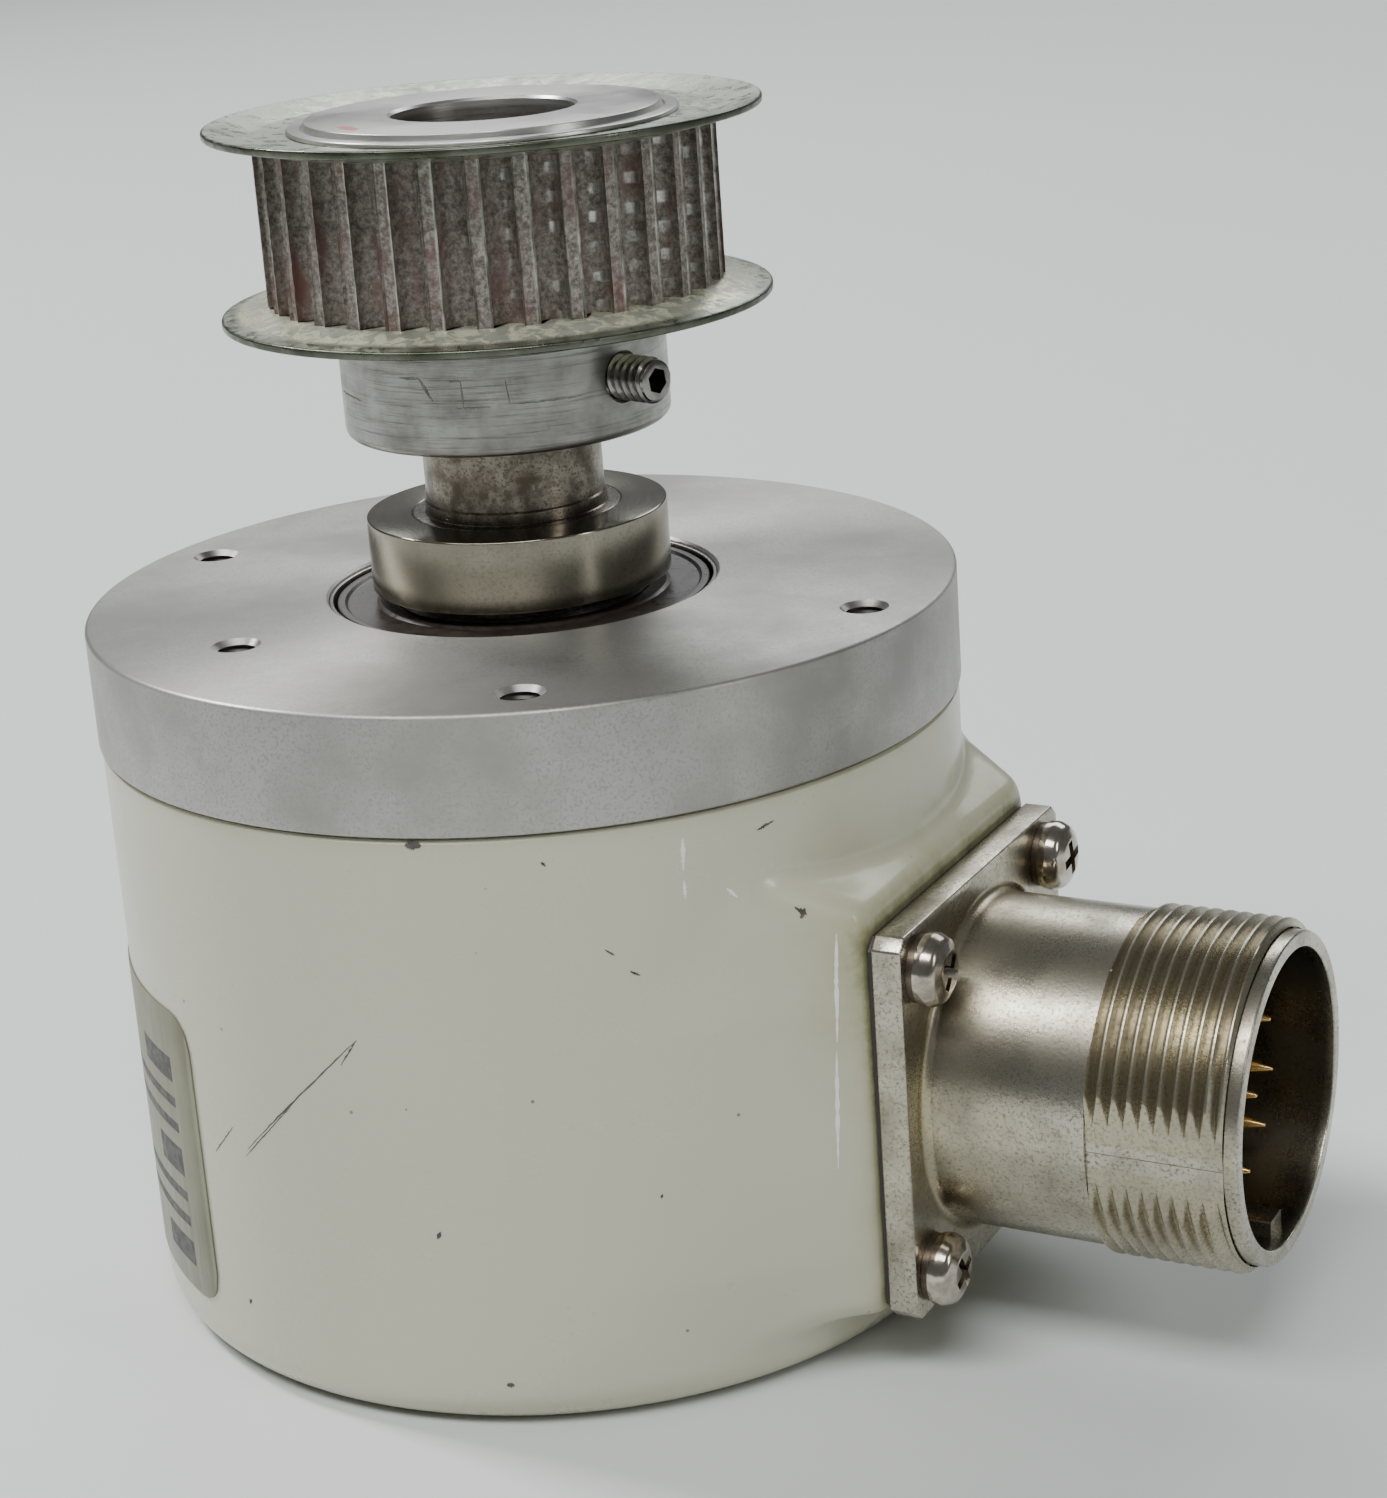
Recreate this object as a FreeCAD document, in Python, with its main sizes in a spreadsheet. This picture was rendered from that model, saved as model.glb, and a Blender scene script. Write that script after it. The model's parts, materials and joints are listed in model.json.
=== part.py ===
import FreeCAD, Part
import math
import os
import Sketcher

# Flange-mounted rotary encoder with a timing-belt pulley on its shaft and a round
# threaded receptacle on its side.
#
# Frame: millimetres, +Z up along the shaft, origin on the shaft axis in the plane of the
# cover's underside, +X towards the receptacle.

DIMENSIONS = {
    # Fits, and how far a cutter reaches past what it cuts
    "seat_gap": 0.02,
    "fit_gap": 0.05,
    "pass_gap": 0.2,
    "stud_gap": 0.5,
    "cut_margin": 1.0,
    # Housing
    "flange_radius": 49.0,
    "flange_top": 80.5,
    "flange_thickness": 13.3,
    "edge_break": 0.4,
    "bore_chamfer": 0.25,
    "spigot_radius": 45.8,
    "spigot_depth": 7.0,
    "cover_radius": 48.7,
    "cover_wall": 2.6,
    "cover_floor": 3.0,
    "cover_round": 4.5,
    "tube_radius": 27.0,
    "tube_bottom": 34.0,
    "seal_groove_depth": 1.8,
    "seal_groove_width": 2.4,
    "seal_groove_offset": 2.0,
    "seal_cord_radius": 0.95,
    # Flange threads
    "tap_radius": 2.5,
    "tap_depth": 10.0,
    "bolt_circle_radius": 42.5,
    "spare_hole_radius": 35.5,
    # Bearings: 22 mm bore, 44 mm outside, 12 mm wide, ten balls
    "bearing_bore": 11.0,
    "bearing_outer": 22.0,
    "bearing_width": 12.0,
    "bearing_pitch": 16.5,
    "bearing_recess": 0.4,
    "rear_bearing_bottom": 35.5,
    "ball_radius": 3.175,
    "race_radius": 3.3,
    "inner_ring_outer": 14.3,
    "outer_ring_inner": 18.7,
    "shield_outer": 21.06,
    "shield_recess": 21.5,
    "shield_depth": 1.2,
    "shield_thickness": 0.9,
    "shoulder_radius": 20.0,
    "shoulder_height": 2.0,
    "spring_thickness": 0.5,
    "spring_inner": 19.0,
    "spring_outer": 21.7,
    "ring_chamfer": 0.15,
    "cage_half": 1.1,
    "cage_back": 4.3,
    "spacer_outer": 13.5,
    # Shaft line
    "shaft_radius": 10.0,
    "shaft_top": 126.0,
    "shaft_neck": 10.2,
    "neck_height": 1.3,
    "shoulder_seat": 11.7,
    "stub_radius": 6.0,
    "stub_top": 33.2,
    "shaft_bottom": 20.9,
    "collar_radius": 16.87,
    "collar_gap": 0.8,
    "collar_top": 89.4,
    "clip_bottom": 34.2,
    "clip_thickness": 1.2,
    "clip_outer": 13.0,
    "clip_seat": 10.2,
    "clip_opening": 6.0,
    # Pulley: 32 teeth at 5 mm pitch
    "pulley_radius": 24.9,
    "groove_radius": 1.68,
    "groove_centre": 24.55,
    "hub_radius": 18.1,
    "hub_bottom": 98.9,
    "hub_round": 0.9,
    "hub_step": 0.4,
    "bore_edge": 0.8,
    "pulley_bore_edge": 0.3,
    "tooth_bottom": 114.15,
    "tooth_top": 131.4,
    "rim_thickness": 0.9,
    "rim_bend": 0.3,
    "rim_dish": 1.2,
    "rim_radius": 30.25,
    "rim_chamfer": 0.2,
    "rim_seat": 20.2,
    "lower_seat": 21.0,
    "crimp_radius": 21.3,
    "crimp_height": 0.5,
    "face_radius": 19.4,
    "face_rise": 0.65,
    "set_screw_height": 105.6,
    "set_screw_radius": 2.5,
    "set_screw_tip": 23.0,
    "set_screw_length": 12.0,
    "set_screw_socket": 2.8,
    "set_screw_key": 1.45,
    # Code disc and its hub
    "disc_radius": 25.0,
    "disc_bottom": 22.2,
    "disc_thickness": 1.2,
    "disc_bore": 8.05,
    "hub_flange_radius": 13.0,
    "hub_flange_height": 3.0,
    "hub_neck_radius": 9.5,
    "disc_screw_circle": 10.3,
    "disc_screw": 1.0,
    "disc_screw_head": 1.8,
    "disc_screw_length": 4.3,
    "clamp_radius": 12.5,
    "clamp_thickness": 1.3,
    "grub_height": 29.8,
    "grub_radius": 1.45,
    "grub_length": 3.2,
    "grub_key": 0.85,
    # Circuit boards
    "board_radius": 36.5,
    "board_thickness": 1.6,
    "detector_bottom": 17.4,
    "processor_bottom": 9.0,
    "pillar_radius": 4.5,
    "pillar_circle": 38.0,
    "pillar_notch": 5.6,
    "standoff_radius": 3.2,
    "standoff_circle": 33.0,
    "standoff_stud": 5.5,
    "standoff_tapping": 8.0,
    "spacer_radius": 2.8,
    "small_screw": 1.45,
    "board_screw_head": 2.7,
    "board_screw_length": 15.0,
    "slot_width": 0.7,
    "slot_depth": 0.6,
    "pillar_stud": 7.5,
    "cover_screw": 1.95,
    "cover_screw_low": 0.1,
    "cover_screw_length": 12.0,
    "sink_depth": 2.0,
    "cross_length": 4.3,
    "cross_width": 0.9,
    "cross_depth": 1.8,
    "sensor_distance": 21.5,
    "bracket_screw_distance": 30.0,
    "bracket_screw_offset": 4.5,
    "bracket_screw_radius": 1.2,
    "bracket_screw_head": 2.2,
    "bracket_screw_length": 5.5,
    # Optics
    "diode_width": 7.2,
    "diode_height": 1.6,
    "mask_inset": 0.5,
    "mask_thickness": 0.7,
    "mask_slit": 0.9,
    "bracket_back": 32.8,
    "bracket_post": 5.8,
    "bracket_half": 7.0,
    "bracket_inset": 2.3,
    "bracket_top": 33.0,
    "arm_bottom": 26.0,
    "lens_bottom": 26.2,
    "lens_radius": 3.3,
    "lens_edge": 1.0,
    "lens_dome": 2.4,
    "lamp_bottom": 31.0,
    "lamp_lip": 0.8,
    "lamp_radius": 2.6,
    "lamp_rim": 3.0,
    "lamp_rim_height": 0.6,
    # Components and harness
    "chip_length": 10.0,
    "chip_width": 8.0,
    "chip_height": 1.8,
    "capacitor_radius": 2.6,
    "capacitor_height": 5.4,
    "header_distance": 25.5,
    "header_half": 9.0,
    "header_width": 3.5,
    "socket_rise": 3.2,
    "plug_rise": 3.8,
    "plug_half": 7.4,
    "plug_thickness": 5.6,
    "plug_wall": 0.6,
    "wire_radius": 0.6,
    # Receptacle, measured outwards from the shaft axis
    "socket_height": 29.75,
    "boss_face": 51.1,
    "boss_half": 22.2,
    "boss_root": 39.4,
    "boss_root_half": 27.8,
    "boss_root_low": 0.3,
    "boss_root_rise": 34.2,
    "boss_drilling": 8.0,
    "boss_corner": 5.0,
    "gasket_thickness": 0.5,
    "gasket_inset": 0.4,
    "plate_half": 22.06,
    "plate_thickness": 3.3,
    "plate_corner": 1.3,
    "barrel_radius": 18.36,
    "barrel_step": 0.7,
    "thread_start": 73.0,
    "thread_crest": 19.05,
    "thread_root": 18.1,
    "thread_pitch": 1.65,
    "lip_start": 87.85,
    "lip_radius": 17.9,
    "lip_chamfer": 0.25,
    "shell_end": 89.4,
    "mouth_radius": 16.14,
    "spigot_outer": 14.95,
    "spigot_inner": 13.6,
    "spigot_end": 43.0,
    "mouth_floor": 60.0,
    "insulator_face": 72.0,
    "insulator_back": 44.0,
    "key_width": 3.6,
    "key_height": 2.0,
    "key_root": 0.4,
    "key_end": 87.6,
    "pin_radius": 0.8,
    "pin_tip": 84.0,
    "pin_point": 2.2,
    "pin_end": 0.15,
    "pin_shoulder": 1.0,
    "cup_radius": 1.1,
    "cup_end": 38.5,
    "cup_depth": 3.0,
    "pin_circle_large": 11.0,
    "pin_circle_small": 6.0,
    "plate_screw_offset": 17.4,
    "plate_screw_head": 4.0,
    "plate_screw_rim": 1.7,
    "plate_screw_rise": 1.2,
    "plate_screw_crown": 2.5,
    "plate_screw_length": 11.6,
    "plate_screw_radius": 1.95,
    "washer_thickness": 0.8,
    "washer_outer": 3.5,
    "washer_split": 0.5,
    # Label
    "label_thickness": 0.2,
    "label_low": 7.3,
    "label_high": 42.1,
    "label_corner": 4.0,
}

# Turns a body's own +Z to point along the receptacle, and its +Y upwards
CONNECTOR_TURN = FreeCAD.Rotation(FreeCAD.Vector(1, 1, 1), 120)
RADIAL = FreeCAD.Rotation(FreeCAD.Vector(0, 1, 0), 90)
CORNERS = ((1, 1), (-1, 1), (-1, -1), (1, -1))

# Angles about the shaft, in degrees from the receptacle
FLANGE_HOLE_ANGLES = (0.0, 180.0, -60.0)
SPARE_HOLE_ANGLES = (-120.0, 120.0)
PILLAR_ANGLE = 60.0
STANDOFF_ANGLE = 45.0
SET_SCREW_ANGLES = (-14.2, 75.8)
GRUB_SCREW_ANGLES = (90.0, 180.0)
LABEL_MIDDLE = -149.0
LABEL_SWEEP = 70.0

# Angles about the receptacle's axis, in degrees from its horizontal
PIN_ANGLE_SMALL = -29.0
PIN_ANGLE_LARGE = 21.5

PILLAR_COUNT = 3
STANDOFF_COUNT = 4
DISC_SCREW_COUNT = 3
BALL_COUNT = 10
TOOTH_COUNT = 32
THREAD_TURNS = 9
SMALL_PIN_COUNT = 5
LARGE_PIN_COUNT = 11

# Corners and centres of what stands on the processor board
CHIP_PLACES = ((-14.0, -14.0), (2.0, -16.0), (-4.0, 2.0))
CAPACITOR_PLACES = ((-20.0, 8.0), (-12.0, 16.0), (16.0, -6.0))

# Distances of the harness plug's two rows of wires, how far they spread along the plug,
# and the share of the shorter run that a wire's bend takes
WIRE_ROWS = (28.6, 31.4)
WIRE_SPREAD = 0.62
BEND_SHARE = 0.45

# Share of a thread's pitch at which its flat crest starts and ends
CREST_START = 0.42
CREST_END = 0.58


class Size:
    """A length that knows both its number and its formula in the sheet."""

    def __init__(self, value, text):
        self.value = value
        self.text = text

    def __add__(self, other):
        other = size(other)
        return Size(self.value + other.value, f"({self.text} + {other.text})")

    def __sub__(self, other):
        other = size(other)
        return Size(self.value - other.value, f"({self.text} - {other.text})")

    def __mul__(self, number):
        return Size(self.value * number, f"({self.text} * {number})")

    def __neg__(self):
        return self * -1

    __radd__ = __add__
    __rmul__ = __mul__


def size(number):
    """Any number as a Size."""
    if isinstance(number, Size):
        return number
    return Size(float(number), f"({float(number)})")


class Sheet:
    """The driving dimensions, by name."""

    def __init__(self, document, dimensions):
        table = document.addObject("Spreadsheet::Sheet", "dims")
        for row, (name, value) in enumerate(dimensions.items(), start=1):
            table.set(f"A{row}", name.replace("_", " "))
            table.set(f"B{row}", str(value))
            table.setAlias(f"B{row}", name)
            setattr(self, name, Size(value, f"dims.{name}"))
        document.recompute()


def bind(thing, prop, amount):
    """Ties one property to the sheet."""
    amount = size(amount)
    thing.setExpression(prop, amount.text)


class Piece:
    """One sub-part: a body made feature by feature, in its own or the receptacle's axes."""

    def __init__(self, label, along_socket=False):
        self.label = label
        self.body = doc.addObject("PartDesign::Body", label)
        self.body.Label = label
        if along_socket:
            self.body.Placement = FreeCAD.Placement(FreeCAD.Vector(0, 0, 0), CONNECTOR_TURN)
            bind(self.body, "Placement.Base.z", d.socket_height)
        PIECES.append(self.body)

    def datum(self, role):
        return next(o for o in self.body.Origin.OriginFeatures if o.Role == role)

    def sketch(self, role="XZ_Plane", lift=None):
        made = self.body.newObject("Sketcher::SketchObject", f"{self.label}_sketch")
        made.AttachmentSupport = [(self.datum(role), "")]
        made.MapMode = "FlatFace"
        if lift is not None:
            bind(made, "AttachmentOffset.Base.z", lift)
        return made

    def outline(self, points, role="XZ_Plane", lift=None):
        """A closed outline of (x, y) corners, each tied to the sheet. A corner with a third
        value starts a quarter round of that radius, bulging away from the outline."""
        made = self.sketch(role, lift)
        corners = [(size(point[0]), size(point[1])) for point in points]
        vectors = [FreeCAD.Vector(x.value, y.value, 0) for x, y in corners]
        count = len(vectors)
        for i, point in enumerate(points):
            start, end = vectors[i], vectors[(i + 1) % count]
            if len(point) == 2:
                made.addGeometry(Part.LineSegment(start, end), False)
            else:
                made.addGeometry(quarter_round(start, end, point[2].value), False)
        for i in range(count):
            following = (i + 1) % count
            made.addConstraint(Sketcher.Constraint("Coincident", i, 2, following, 1))
        for i, corner in enumerate(corners):
            for kind, amount in zip(("DistanceX", "DistanceY"), corner):
                index = made.addConstraint(
                    Sketcher.Constraint(kind, -1, 1, i, 1, amount.value)
                )
                made.setExpression(f"Constraints[{index}]", amount.text)
            if len(points[i]) == 3:
                radius = points[i][2]
                index = made.addConstraint(Sketcher.Constraint("Radius", i, radius.value))
                made.setExpression(f"Constraints[{index}]", radius.text)
        return made

    def circles(self, centres, radius, role="XY_Plane", lift=None):
        """Equal circles, each tied to the sheet."""
        made = self.sketch(role, lift)
        radius = size(radius)
        for i, centre in enumerate(centres):
            x, y = size(centre[0]), size(centre[1])
            circle = Part.Circle(
                FreeCAD.Vector(x.value, y.value, 0), FreeCAD.Vector(0, 0, 1), radius.value
            )
            made.addGeometry(circle, False)
            for kind, amount in (("DistanceX", x), ("DistanceY", y)):
                index = made.addConstraint(
                    Sketcher.Constraint(kind, -1, 1, i, 3, amount.value)
                )
                made.setExpression(f"Constraints[{index}]", amount.text)
            index = made.addConstraint(Sketcher.Constraint("Radius", i, radius.value))
            made.setExpression(f"Constraints[{index}]", radius.text)
        return made

    def feature(self, kind, name, **values):
        made = self.body.newObject(f"PartDesign::{kind}", f"{self.label}_{name}")
        for prop, value in values.items():
            if isinstance(value, Size):
                bind(made, prop, value)
            else:
                setattr(made, prop, value)
        return made

    def turned(self, points, angle=360.0):
        """Material turned about the axis from a half section of (radius, height) points."""
        profile = self.outline(points)
        made = self.feature("Revolution", "turned", Profile=profile)
        made.ReferenceAxis = (profile, ["V_Axis"])
        made.Angle = angle
        return made

    def grooved(self, profile):
        """Material turned away about the axis."""
        before = self.volume()
        made = self.feature("Groove", "grooved", Profile=profile)
        made.ReferenceAxis = (profile, ["V_Axis"])
        made.Angle = 360.0
        self.must_shrink(before)
        return made

    def padded(self, profile, length, **values):
        return self.feature("Pad", "padded", Profile=profile, Length=size(length), **values)

    def pocketed(self, profile, length):
        """A pocket cut upwards from its sketch."""
        before = self.volume()
        made = self.feature("Pocket", "pocketed", Profile=profile, Length=size(length))
        made.Reversed = True
        self.must_shrink(before)
        return made

    def primitive(self, kind, at=(0, 0, 0), turn=None, **sizes):
        """An added or cut primitive standing at a point of the body."""
        before = self.volume() if kind.startswith("Subtractive") else None
        made = self.feature(kind, kind.lower(), **sizes)
        made.AttachmentSupport = [(self.datum("XY_Plane"), "")]
        made.MapMode = "FlatFace"
        if turn is not None:
            made.AttachmentOffset = FreeCAD.Placement(FreeCAD.Vector(0, 0, 0), turn)
        for axis, amount in zip("xyz", at):
            bind(made, f"AttachmentOffset.Base.{axis}", amount)
        if before is not None:
            self.must_shrink(before)
        return made

    def repeated(self, features, count, angle=360.0):
        """Copies of features round the axis."""
        doc.recompute()
        made = self.feature("PolarPattern", "repeated", Originals=features)
        made.Axis = (self.datum("Z_Axis"), [""])
        made.Angle = angle
        made.Occurrences = count
        self.body.Tip = made
        return made

    def edges_where(self, test):
        doc.recompute()
        tip = self.body.Tip
        names = [f"Edge{i + 1}" for i, e in enumerate(tip.Shape.Edges) if test(e)]
        if not names:
            raise RuntimeError(f"{self.label}: no edge fits")
        return (tip, names)

    def filleted(self, test, radius):
        base = self.edges_where(test)
        return self.feature("Fillet", "fillet", Base=base, Radius=size(radius))

    def chamfered(self, test, width):
        base = self.edges_where(test)
        return self.feature("Chamfer", "chamfer", Base=base, Size=size(width))

    def volume(self):
        doc.recompute()
        return self.body.Shape.Volume if self.body.Tip else 0.0

    def must_shrink(self, before):
        if self.volume() >= before - 1e-6:
            raise RuntimeError(f"{self.label}: a cut took nothing away")


def quarter_round(start, end, radius):
    """The short arc between two points, bulging to the right of the way along it."""
    chord = end - start
    away = FreeCAD.Vector(chord.y, -chord.x, 0).normalize()
    rise = radius - math.sqrt(radius**2 - (chord.Length / 2) ** 2)
    return Part.Arc(start, (start + end) * 0.5 + away * rise, end)


def polar(radius, degrees):
    """A point at a radius and angle, as two Sizes."""
    angle = math.radians(degrees)
    return (size(radius) * round(math.cos(angle), 9), size(radius) * round(math.sin(angle), 9))


def ring_section(inner, outer, bottom, top):
    """The half section of a plain ring."""
    return [(inner, bottom), (outer, bottom), (outer, top), (inner, top)]


def is_circle(edge, radius, height, slack=0.02):
    """Whether an edge is a circle of that radius at that height."""
    curve = edge.Curve
    if not isinstance(curve, Part.Circle):
        return False
    return abs(curve.Radius - radius) < slack and abs(curve.Center.z - height) < slack


def radial(degrees):
    """Turns a primitive's own axis to point outwards at that angle."""
    return FreeCAD.Rotation(FreeCAD.Vector(0, 0, 1), degrees).multiply(RADIAL)


# --- Housing ---------------------------------------------------------------------------


def make_front_flange():
    """Flange disc, spigot for the cover and the tube that carries both bearings."""
    flange = Piece("front_flange")
    flange_bottom = d.flange_top - d.flange_thickness
    spigot_bottom = flange_bottom - d.spigot_depth
    front_bottom = d.flange_top - d.bearing_recess - d.bearing_width
    rear_top = d.rear_bearing_bottom + d.bearing_width
    bore = d.bearing_outer + d.seat_gap
    groove_low = spigot_bottom + d.seal_groove_offset
    flange.turned(
        [
            (bore, d.tube_bottom),
            (d.tube_radius, d.tube_bottom),
            (d.tube_radius, spigot_bottom),
            (d.spigot_radius, spigot_bottom),
            (d.spigot_radius, groove_low),
            (d.spigot_radius - d.seal_groove_depth, groove_low),
            (d.spigot_radius - d.seal_groove_depth, groove_low + d.seal_groove_width),
            (d.spigot_radius, groove_low + d.seal_groove_width),
            (d.spigot_radius, flange_bottom),
            (d.flange_radius, flange_bottom),
            (d.flange_radius, d.flange_top - d.edge_break),
            (d.flange_radius - d.edge_break, d.flange_top),
            (bore + d.bore_chamfer, d.flange_top),
            (bore, d.flange_top - d.bore_chamfer),
            (bore, front_bottom),
            (d.shoulder_radius, front_bottom),
            (d.shoulder_radius, rear_top + d.shoulder_height),
            (bore, rear_top + d.shoulder_height),
        ]
    )
    tap_floor = d.flange_top - d.tap_depth
    places = [polar(d.bolt_circle_radius, a) for a in FLANGE_HOLE_ANGLES]
    places += [polar(d.spare_hole_radius, a) for a in SPARE_HOLE_ANGLES]
    flange.pocketed(flange.circles(places, d.tap_radius, lift=tap_floor), d.tap_depth + d.cut_margin)
    x, y = polar(d.pillar_circle, PILLAR_ANGLE)
    pillar_hole = flange.primitive(
        "SubtractiveCylinder",
        at=(x, y, spigot_bottom - d.cut_margin),
        Radius=d.cover_screw + d.fit_gap,
        Height=d.pillar_stud + d.stud_gap + d.cut_margin,
    )
    flange.repeated([pillar_hole], PILLAR_COUNT)
    x, y = polar(d.standoff_circle, STANDOFF_ANGLE)
    standoff_hole = flange.primitive(
        "SubtractiveCylinder",
        at=(x, y, spigot_bottom - d.cut_margin),
        Radius=d.small_screw + d.fit_gap,
        Height=d.standoff_stud + d.stud_gap + d.cut_margin,
    )
    flange.repeated([standoff_hole], STANDOFF_COUNT)


def make_cover_shell():
    """Round pot with a square boss, drafted on all sides, that carries the receptacle."""
    cover = Piece("cover_shell")
    top = d.flange_top - d.flange_thickness
    inner = d.cover_radius - d.cover_wall
    inside = d.cover_round - d.cover_wall
    height = d.socket_height
    face = cover.outline(
        [
            (-d.boss_half, height - d.boss_half),
            (d.boss_half, height - d.boss_half),
            (d.boss_half, height + d.boss_half),
            (-d.boss_half, height + d.boss_half),
        ],
        role="YZ_Plane",
        lift=d.boss_face,
    )
    root = cover.outline(
        [
            (-d.boss_root_half, d.boss_root_low),
            (d.boss_root_half, d.boss_root_low),
            (d.boss_root_half, height + d.boss_root_rise),
            (-d.boss_root_half, height + d.boss_root_rise),
        ],
        role="YZ_Plane",
        lift=d.boss_root,
    )
    boss = cover.feature("AdditiveLoft", "boss", Profile=face, Sections=[root])
    boss.Ruled = True

    def slopes(edge):
        return edge.BoundBox.XLength > (d.boss_face - d.boss_root).value / 2

    cover.filleted(slopes, d.boss_corner)
    cover.turned(
        [
            (0, 0),
            (d.cover_radius - d.cover_round, 0, d.cover_round),
            (d.cover_radius, d.cover_round),
            (d.cover_radius, top),
            (0, top),
        ]
    )
    cover.grooved(
        cover.outline(
            [
                (0, d.cover_floor),
                (inner - inside, d.cover_floor, inside),
                (inner, d.cover_floor + inside),
                (inner, top + d.cut_margin),
                (0, top + d.cut_margin),
            ]
        )
    )
    cover.primitive(
        "SubtractiveCylinder",
        at=(d.boss_root - d.boss_drilling, size(0), height),
        turn=radial(0),
        Radius=d.spigot_outer + d.pass_gap,
        Height=d.boss_drilling * 3,
    )
    reach = d.plate_screw_offset
    for side in (-1, 1):
        for level in (-1, 1):
            cover.primitive(
                "SubtractiveCylinder",
                at=(d.boss_root - d.boss_drilling, reach * side, height + reach * level),
                turn=radial(0),
                Radius=d.plate_screw_radius + d.fit_gap,
                Height=d.boss_drilling * 3,
            )
    x, y = polar(d.pillar_circle, PILLAR_ANGLE)
    drill = cover.primitive(
        "SubtractiveCylinder",
        at=(x, y, -d.cut_margin),
        Radius=d.cover_screw + d.pass_gap,
        Height=d.cover_floor + d.cut_margin * 2,
    )
    sink = cover.primitive(
        "SubtractiveCone",
        at=(x, y, size(0)),
        Radius1=d.cover_screw + d.pass_gap + d.sink_depth,
        Radius2=d.cover_screw + d.pass_gap,
        Height=d.sink_depth,
    )
    cover.repeated([drill, sink], PILLAR_COUNT)


def make_cover_o_ring():
    ring = Piece("cover_o_ring")
    spigot_bottom = d.flange_top - d.flange_thickness - d.spigot_depth
    centre = d.cover_radius - d.cover_wall - d.seal_cord_radius - d.fit_gap
    level = spigot_bottom + d.seal_groove_offset + d.seal_groove_width * 0.5
    profile = ring.circles([(centre, level)], d.seal_cord_radius, role="XZ_Plane")
    made = ring.feature("Revolution", "turned", Profile=profile)
    made.ReferenceAxis = (profile, ["V_Axis"])
    made.Angle = 360.0


def make_rating_label():
    """Curved plate with rounded corners, bonded to the cover's side."""
    label = Piece("rating_label")
    inner = d.cover_radius + d.seat_gap
    plate = label.turned(
        ring_section(inner, inner + d.label_thickness, d.label_low, d.label_high),
        angle=LABEL_SWEEP,
    )
    plate.Midplane = True
    label.filleted(lambda e: e.Length < d.label_thickness.value * 1.05, d.label_corner)
    start = FreeCAD.Rotation(FreeCAD.Vector(0, 0, 1), LABEL_MIDDLE)
    label.body.Placement = FreeCAD.Placement(FreeCAD.Vector(0, 0, 0), start)


def make_cover_pillars():
    """Three round posts between flange and cover floor, studded above and tapped below."""
    pillars = Piece("cover_pillars")
    spigot_bottom = d.flange_top - d.flange_thickness - d.spigot_depth
    x, y = polar(d.pillar_circle, PILLAR_ANGLE)
    post = pillars.primitive(
        "AdditiveCylinder",
        at=(x, y, d.cover_floor),
        Radius=d.pillar_radius,
        Height=spigot_bottom - d.cover_floor,
    )
    stud = pillars.primitive(
        "AdditiveCylinder",
        at=(x, y, spigot_bottom - d.cut_margin),
        Radius=d.cover_screw,
        Height=d.pillar_stud + d.cut_margin,
    )
    tapping = pillars.primitive(
        "SubtractiveCylinder",
        at=(x, y, d.cover_floor - d.cut_margin),
        Radius=d.cover_screw + d.fit_gap,
        Height=d.cover_screw_length + d.cut_margin,
    )
    pillars.repeated([post, stud, tapping], PILLAR_COUNT)


def cross_recess(screws, at, depth):
    """The two crossing slots of a cross-headed screw, from a point on its axis."""
    x, y, low = at
    slots = []
    for length, width in ((d.cross_length, d.cross_width), (d.cross_width, d.cross_length)):
        slots.append(
            screws.primitive(
                "SubtractiveBox",
                at=(x - length * 0.5, y - width * 0.5, low),
                Length=length,
                Width=width,
                Height=size(depth),
            )
        )
    return slots


def make_cover_screws():
    """Three countersunk screws up through the cover's floor, each with a cross recess."""
    screws = Piece("cover_screws")
    x, y = polar(d.pillar_circle, PILLAR_ANGLE)
    head = screws.primitive(
        "AdditiveCone",
        at=(x, y, d.cover_screw_low),
        Radius1=d.cover_screw + d.sink_depth,
        Radius2=d.cover_screw,
        Height=d.sink_depth,
    )
    shank = screws.primitive(
        "AdditiveCylinder",
        at=(x, y, d.cover_screw_low + 1.0),
        Radius=d.cover_screw,
        Height=d.cover_screw_length,
    )
    cross = cross_recess(screws, (x, y, d.cover_screw_low - d.cut_margin), d.cut_margin + 1.0)
    screws.repeated([head, shank, *cross], PILLAR_COUNT)


# --- Receptacle ------------------------------------------------------------------------


def square(half, corner):
    """The outline of a square plate with its corners cut."""
    cut = half - corner
    edge = [(cut, -half), (half, -cut), (half, cut), (cut, half)]
    return edge + [(-x, -y) for x, y in edge]


def make_connector_gasket():
    gasket = Piece("connector_gasket", along_socket=True)
    shape = square(d.plate_half - d.gasket_inset, d.plate_corner)
    outline = gasket.outline(shape, role="XY_Plane", lift=d.boss_face)
    gasket.padded(outline, d.gasket_thickness)
    low = d.boss_face - d.cut_margin
    depth = d.gasket_thickness + d.cut_margin * 2
    gasket.pocketed(gasket.circles([(0, 0)], d.spigot_outer + d.pass_gap, lift=low), depth)
    radius = d.plate_screw_radius + d.pass_gap
    gasket.pocketed(gasket.circles(plate_screw_places(), radius, lift=low), depth)


def plate_screw_places():
    return [(d.plate_screw_offset * a, d.plate_screw_offset * b) for a, b in CORNERS]


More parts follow.
